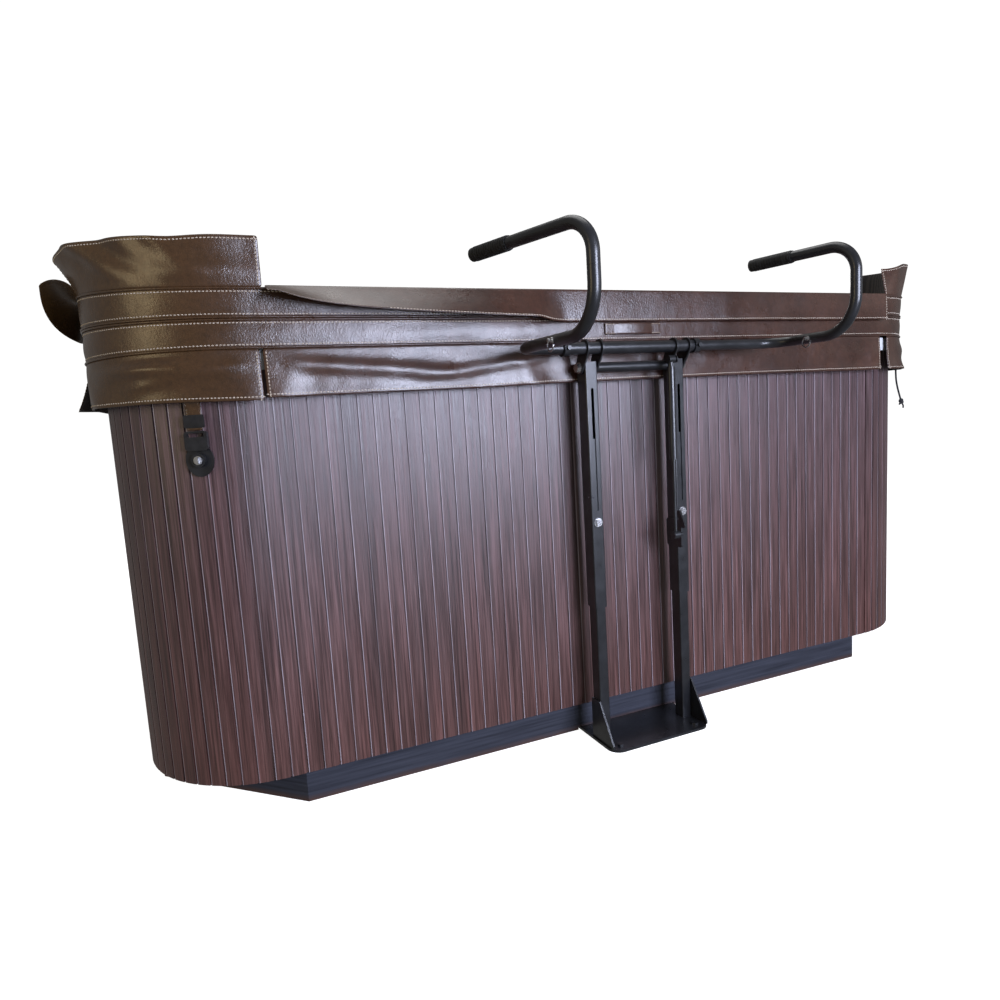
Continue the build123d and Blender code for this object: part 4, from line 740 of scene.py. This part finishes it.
def upper_left_shape(s, t):
    """Stands up when folded: flared to a point at the side end, two creases running up from the corner."""
    end = step_up(s, -1.08, -side_run(SLIT_SIDE))
    stand = 0.036 * t**1.3 * end
    stand += 0.011 * t * hump(s + 0.16 * t, -1.00, 0.028) - 0.009 * t * hump(s + 0.16 * t, -0.93, 0.030)
    stand += 0.006 * t * hump(s + 0.10 * t, -0.86, 0.022)
    stand += 0.006 * hump(t, 0.3, 0.2) * hump(s, -0.90, 0.10) - 0.006 * t * hump(s, -0.80, 0.06)
    stand += 0.0015 * wobble(s * 14, t * 3, 5.0)
    return stand, t * (SKIRT_DROP - 0.004 * hump(s, -0.93, 0.05)) - 0.020 * t * end * end


def upper_right_shape(s, t):
    """Stands up when folded: rolled in at its front end, a raised fold near the corner."""
    stand = -0.020 * t * hump(s, 0.85, 0.035) + 0.011 * t * hump(s - 0.05 * t, 0.98, 0.035)
    stand += 0.006 * t * hump(s, 1.10, 0.05)
    return stand, t * (SKIRT_DROP - 0.020 * hump(s, 0.86, 0.07) - 0.006 * step_up(s, 1.0, 1.2))


upper_left = skirt_piece(
    "upper_skirt_left_cloth", -side_run(SLIT_SIDE), -0.775, upper_left_shape, fold_over, "cover_upper"
)
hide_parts("upper_skirt_left")
upper_right = skirt_piece(
    "upper_skirt_right_cloth", 0.849, side_run(SLIT_SIDE), upper_right_shape, fold_over, "cover_upper"
)
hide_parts("upper_skirt_right")


def side_flap(name, side, node):
    """The folded half's side strip, flopped outward from its seam and drooping towards the hinge."""
    columns, rows = 86, 11
    grid = []
    for r in range(rows + 1):
        t = r / rows
        row = []
        for c in range(columns + 1):
            y = (SLIT_SIDE + 0.005) * (1 - c / columns) - 0.006 * c / columns
            far = 1 + y / (-SLIT_SIDE)
            turn = math.radians(66 + 92 * step_up(far, -0.03, 0.28) + 4 * wobble(y * 5, side, 3.0))
            bend = math.radians(22 + 116 * step_up(far, 0.34, 0.0))
            start = turn - bend / 2
            now = start + bend * t
            x = COVER_HALF + 0.0012 + SKIRT_DROP / bend * (math.cos(start) - math.cos(now))
            lift = SKIRT_DROP / bend * (math.sin(start) - math.sin(now))
            x += 0.002 * t * wobble(y * 12, t, 8.0)
            row.append(fold_over(Vector((side * x, y, COVER_BOTTOM - 0.0015 + lift))))
        grid.append(row)
    made = cloth_grid(name, grid, 0.0022, node, flip=side < 0)
    hem = [grid[rows - 1][c].lerp(grid[rows][c], 0.3) for c in range(columns + 1)]
    ends = [[grid[r][c].lerp(grid[r][d], 0.6) for r in range(1, rows + 1)] for c, d in ((0, 1), (columns, columns - 1))]
    stitches(f"{name}_stitching", [hem, *ends], made, node, hide_under=0.006)
    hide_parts(node)
    return made


side_flap("left_side_flap_cloth", -1, "left_side_flap")
side_flap("right_side_flap_cloth", 1, "right_side_flap")

flap_low, flap_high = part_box("upper_flap")
SEW_Y = flap_low[1] + 0.0045
SEW_Z = flap_high[2] + 0.0006


def front_flap():
    """The folded half's long front strip: turned over the seam, its left part standing out from the band."""
    columns, rows = 180, 10
    grid = []
    for r in range(rows + 1):
        t = r / rows
        row = []
        for c in range(columns + 1):
            x = FLAP_LEFT + (FLAP_RIGHT - FLAP_LEFT) * c / columns
            steady = 26 + 54 * (-0.23 - x)
            lift = (steady + 14 * math.exp((FLAP_LEFT + 0.03 - x) / 0.06)) * step_up(x, -0.150, -0.236)
            sway = 1.5 * wobble(x * 4, 0, 9.0) + 3 * hump(x, 0.40, 0.12)
            turn = math.radians(max(1.0, min(lift, 72) + sway + 1.5))
            curl = math.radians(6) * (t - 0.5) * step_up(x, -0.45, FLAP_LEFT)
            out = math.sin(turn + curl) * FLAP_DROP * t + 0.0032
            down = math.cos(turn + curl) * FLAP_DROP * t
            over = 0.0035 * (1 - t) ** 4
            row.append(Vector((x, SEW_Y - out - 0.0012 * math.sin(math.pi * t), SEW_Z - down + over)))
        grid.append(row)
    made = cloth_grid("upper_flap_cloth", grid, 0.0022, "upper_flap", flip=True)
    nearer = Vector((0, -0.0025, -0.001))
    hem = [grid[rows - 1][c].lerp(grid[rows][c], 0.1) + nearer for c in range(columns + 1)]
    ends = [
        [grid[r][c].lerp(grid[r][d], 0.6) + nearer for r in range(1, rows + 1)]
        for c, d in ((0, 1), (columns, columns - 1))
    ]
    stitches("upper_flap_stitching", [hem, *ends], made, "upper_flap", hide_under=0.006)
    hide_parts("upper_flap")


front_flap()


# ------------------------------------------------------------------ hinge of the cover
def hinge_strip():
    """Reinforced vinyl strip that joins the halves: a wing on each sloping face and a tight fold between them."""
    lean = (FOLD - math.pi) / 2
    down = Vector((0, math.sin(lean), -math.cos(lean)))
    inward = Vector((0, -math.cos(lean), -math.sin(lean)))
    profile = []
    for reach in (0.040, 0.028, 0.016, 0.006, 0.001):
        profile.append(inward * reach + down * 0.0006)
    for turn in (-50, 0, 50):
        angle = math.radians(turn)
        profile.append(-inward * 0.0022 * math.cos(angle) - down * 0.0011 * math.sin(angle))
    for reach in (0.001, 0.006, 0.016, 0.028, 0.040):
        profile.append(inward * reach - down * 0.0006)
    length = COVER_HALF - 0.006
    grid = [
        [Vector((-length + 2 * length * c / 140, p.y, p.z + HINGE_Z)) for c in range(141)] for p in profile
    ]
    made = cloth_grid("hinge_strip", grid, 0.0007, None)
    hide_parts("hinge_seam")
    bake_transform(made)


hinge_strip()

# ------------------------------------------------------------------ tie cord on the right corner
HEM_Z = COVER_BOTTOM - SKIRT_DROP
CORD_DIAMETER = 0.005
CORD_ANGLE = math.radians(40)
CORD_RUNS = ((0, 0), (0.0004, 0.020), (0.003, 0.042), (0.008, 0.065), (0.014, 0.088))
cord_out = Vector((math.cos(CORD_ANGLE), -math.sin(CORD_ANGLE), 0))
cord_points = [
    Vector((RIGHT_CORNER, -RIGHT_CORNER, HEM_Z - drop)) + cord_out * (COVER_RADIUS - 0.0015 + lean)
    for lean, drop in CORD_RUNS
]
cord_curve = bpy.data.curves.new("tie_cord_line", "CURVE")
cord_curve.dimensions = "3D"
cord_spline = cord_curve.splines.new("NURBS")
cord_spline.points.add(len(cord_points) - 1)
for place, point in zip(cord_spline.points, cord_points):
    place.co = (*point, 1)
cord_spline.order_u = 3
cord_spline.use_endpoint_u = True
cord_curve.bevel_depth = CORD_DIAMETER / 2
cord_curve.bevel_resolution = 5
cord_curve.use_fill_caps = True
cord_curve.materials.append(CORD_BRAID)
tie_cord = bpy.data.objects.new("tie_cord_braid", cord_curve)
bpy.context.scene.collection.objects.link(tie_cord)
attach(tie_cord, "tub")
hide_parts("tie_cord")

knot_centre = (Vector(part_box("tie_knot")[0]) + Vector(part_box("tie_knot")[1])) / 2
knot_line = []
for i in range(73):
    turn = 2 * math.pi * i / 72
    reach = 2 + math.cos(3 * turn)
    knot_line.append(
        knot_centre
        + Vector((reach * math.cos(2 * turn), 1.2 * math.sin(3 * turn), 1.1 * reach * math.sin(2 * turn))) * 0.0021
    )
knot = tube_along("tie_knot_braid", knot_line, 0.0024, CORD_BRAID, "tub", sides=12)
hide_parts("tie_knot")
for name, points in (
    ("tie_tail_long", ((0.002, 0.000, -0.004), (0.006, -0.002, -0.012), (0.005, -0.003, -0.020))),
    ("tie_tail_short", ((-0.003, -0.001, -0.001), (-0.009, -0.003, -0.004), (-0.013, -0.004, -0.009))),
):
    tube_along(name, [knot_centre + Vector(p) for p in points], 0.0022, CORD_BRAID, "tub", sides=12)

# ------------------------------------------------------------------ handle strap and lock strap
handle_low, handle_high = (Vector(p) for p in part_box("handle_strap"))


def strap_strip(name, centre_line, width_axis, width, thickness, body, face):
    """A flat strap along a line, its edges rounded."""
    rows = 5
    grid = []
    for r in range(rows + 1):
        share = r / rows - 0.5
        edge = 1 - abs(2 * share) ** 4
        grid.append([p + width_axis * (share * width) + face * (0.0004 * edge) for p in centre_line])
    return cloth_grid(name, grid, thickness, body, [VINYL, VINYL, VINYL])


def handle():
    middle = (handle_low + handle_high) / 2
    half = (handle_high.x - handle_low.x) / 2
    line = []
    for i in range(41):
        x = -half + 2 * half * i / 40
        rise = 0.0055 * math.cos(math.pi / 2 * min(1.0, abs(x) / (half - 0.026))) ** 0.8
        line.append(Vector((middle.x + x, handle_high.y - 0.0035 - rise, middle.z)))
    strap = strap_strip("handle_strap_vinyl", line, Vector((0, 0, 1)), 0.026, 0.0026, "tub", Vector((0, -1, 0)))
    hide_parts("handle_strap")
    rows = []
    for end in (-1, 1):
        left, right = middle.x + end * (half - 0.003), middle.x + end * (half - 0.023)
        low, high = middle.z - 0.010, middle.z + 0.010
        y = handle_high.y - 0.005
        corners = [Vector((left, y, low)), Vector((right, y, low)), Vector((right, y, high)), Vector((left, y, high))]
        rows.append([*corners, corners[0]])
        rows.append([corners[0], corners[2]])
        rows.append([corners[1], corners[3]])
    stitches("handle_stitching", rows, strap, "tub", pitch=0.004, length=0.0028, radius=0.0005, hide_under=0.01)


handle()


def lock_strap():
    """Strap from under the skirt, through the slider, into the buckle."""
    centre = Vector((-RIGHT_CORNER + 0.028, -RIGHT_CORNER + 0.028, 0))
    low, high = (Vector(p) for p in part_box("lock_strap"))
    turn = math.atan2(-0.808 + 0.918, 0.264)
    out = Vector((-math.sin(turn), -math.cos(turn), 0))
    along = Vector((math.cos(turn), -math.sin(turn), 0))
    base = Vector((-0.808, -0.808, 0)) + out * 0.264
    route = ((0.0200, 0.9125), (0.0200, 0.880), (0.0203, 0.852), (0.0195, 0.838), (0.0145, 0.824))
    route += ((0.0100, 0.813), (0.0090, 0.800), (0.0088, 0.785), (0.0090, 0.7717))
    points = [base + out * o + Vector((0, 0, z)) for o, z in route]
    line = []
    for a, b in zip(points, points[1:]):
        line += [a.lerp(b, k / 5) for k in range(5)]
    line.append(points[-1])
    strap = strap_strip("lock_strap_vinyl", line, along, 0.030, 0.0024, "tub", out)
    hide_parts("lock_strap")
    rows = [[p + along * (side * 0.0115) + out * 0.001 for p in line] for side in (-1, 1)]
    stitches("lock_strap_stitching", rows, strap, "tub", pitch=0.005, length=0.0034, radius=0.0005, hide_under=0.004)


lock_strap()

# ------------------------------------------------------------------ stage and light
floor_paint = Paint("floor", roughness=0.7, specular=0.2)
floor_paint.colour(floor_paint.ramp(floor_paint.noise(1.2, 2), (0.3, (0.86, 0.86, 0.86)), (0.7, (0.88, 0.88, 0.88))))
floor_paint.shader.inputs["Emission Color"].default_value = (1, 1, 1, 1)
floor_paint.shader.inputs["Emission Strength"].default_value = 0.9
floor = mesh_object(
    "floor", [(-30, -30, 0), (30, -30, 0), (30, 30, 0), (-30, 30, 0)], [(0, 1, 2, 3)], [floor_paint.material], None
)
floor.visible_diffuse = floor.visible_glossy = False


def lamp(name, place, aim, size, power, colour):
    light = bpy.data.lights.new(name, "AREA")
    light.shape = "RECTANGLE"
    light.size, light.size_y = size
    light.energy = power
    light.color = colour
    holder = bpy.data.objects.new(name, light)
    holder.location = place
    holder.rotation_euler = (Vector(aim) - Vector(place)).to_track_quat("-Z", "Y").to_euler()
    bpy.context.scene.collection.objects.link(holder)


lamp("key", (0.62, -3.9, 1.12), (-0.38, -1.1, 0.88), (1.35, 1.25), 125, (0.72, 0.78, 1.0))
lamp("warm_side", (-3.4, -1.8, 1.3), (-1.1, -0.9, 0.7), (0.9, 1.2), 11, (1.0, 0.80, 0.46))
lamp("fill", (3.6, -2.6, 2.0), (0.6, -1.0, 0.5), (1.6, 1.6), 4, (1.0, 0.93, 0.88))
lamp("overhead", (0.0, 0.3, 5.5), (0.0, 0.3, 0.0), (4.0, 4.0), 110, (1.0, 1.0, 1.0))
lamp("rear", (2.6, 4.2, 2.6), (0.0, 0.6, 0.6), (2.0, 2.0), 60, (1.0, 0.99, 0.97))
world = bpy.data.worlds.new("studio")
world.use_nodes = True
surround = world.node_tree.nodes["Background"].inputs
surround["Color"].default_value = (1, 1, 1, 1)
seen = world.node_tree.nodes.new("ShaderNodeLightPath").outputs["Is Camera Ray"]
level_of = world.node_tree.nodes.new("ShaderNodeMapRange")
level_of.inputs["To Min"].default_value = 0.20
level_of.inputs["To Max"].default_value = 1.05
world.node_tree.links.new(seen, level_of.inputs["Value"])
world.node_tree.links.new(level_of.outputs["Result"], surround["Strength"])
bpy.context.scene.world = world
bpy.context.scene.view_settings.view_transform = "Standard"
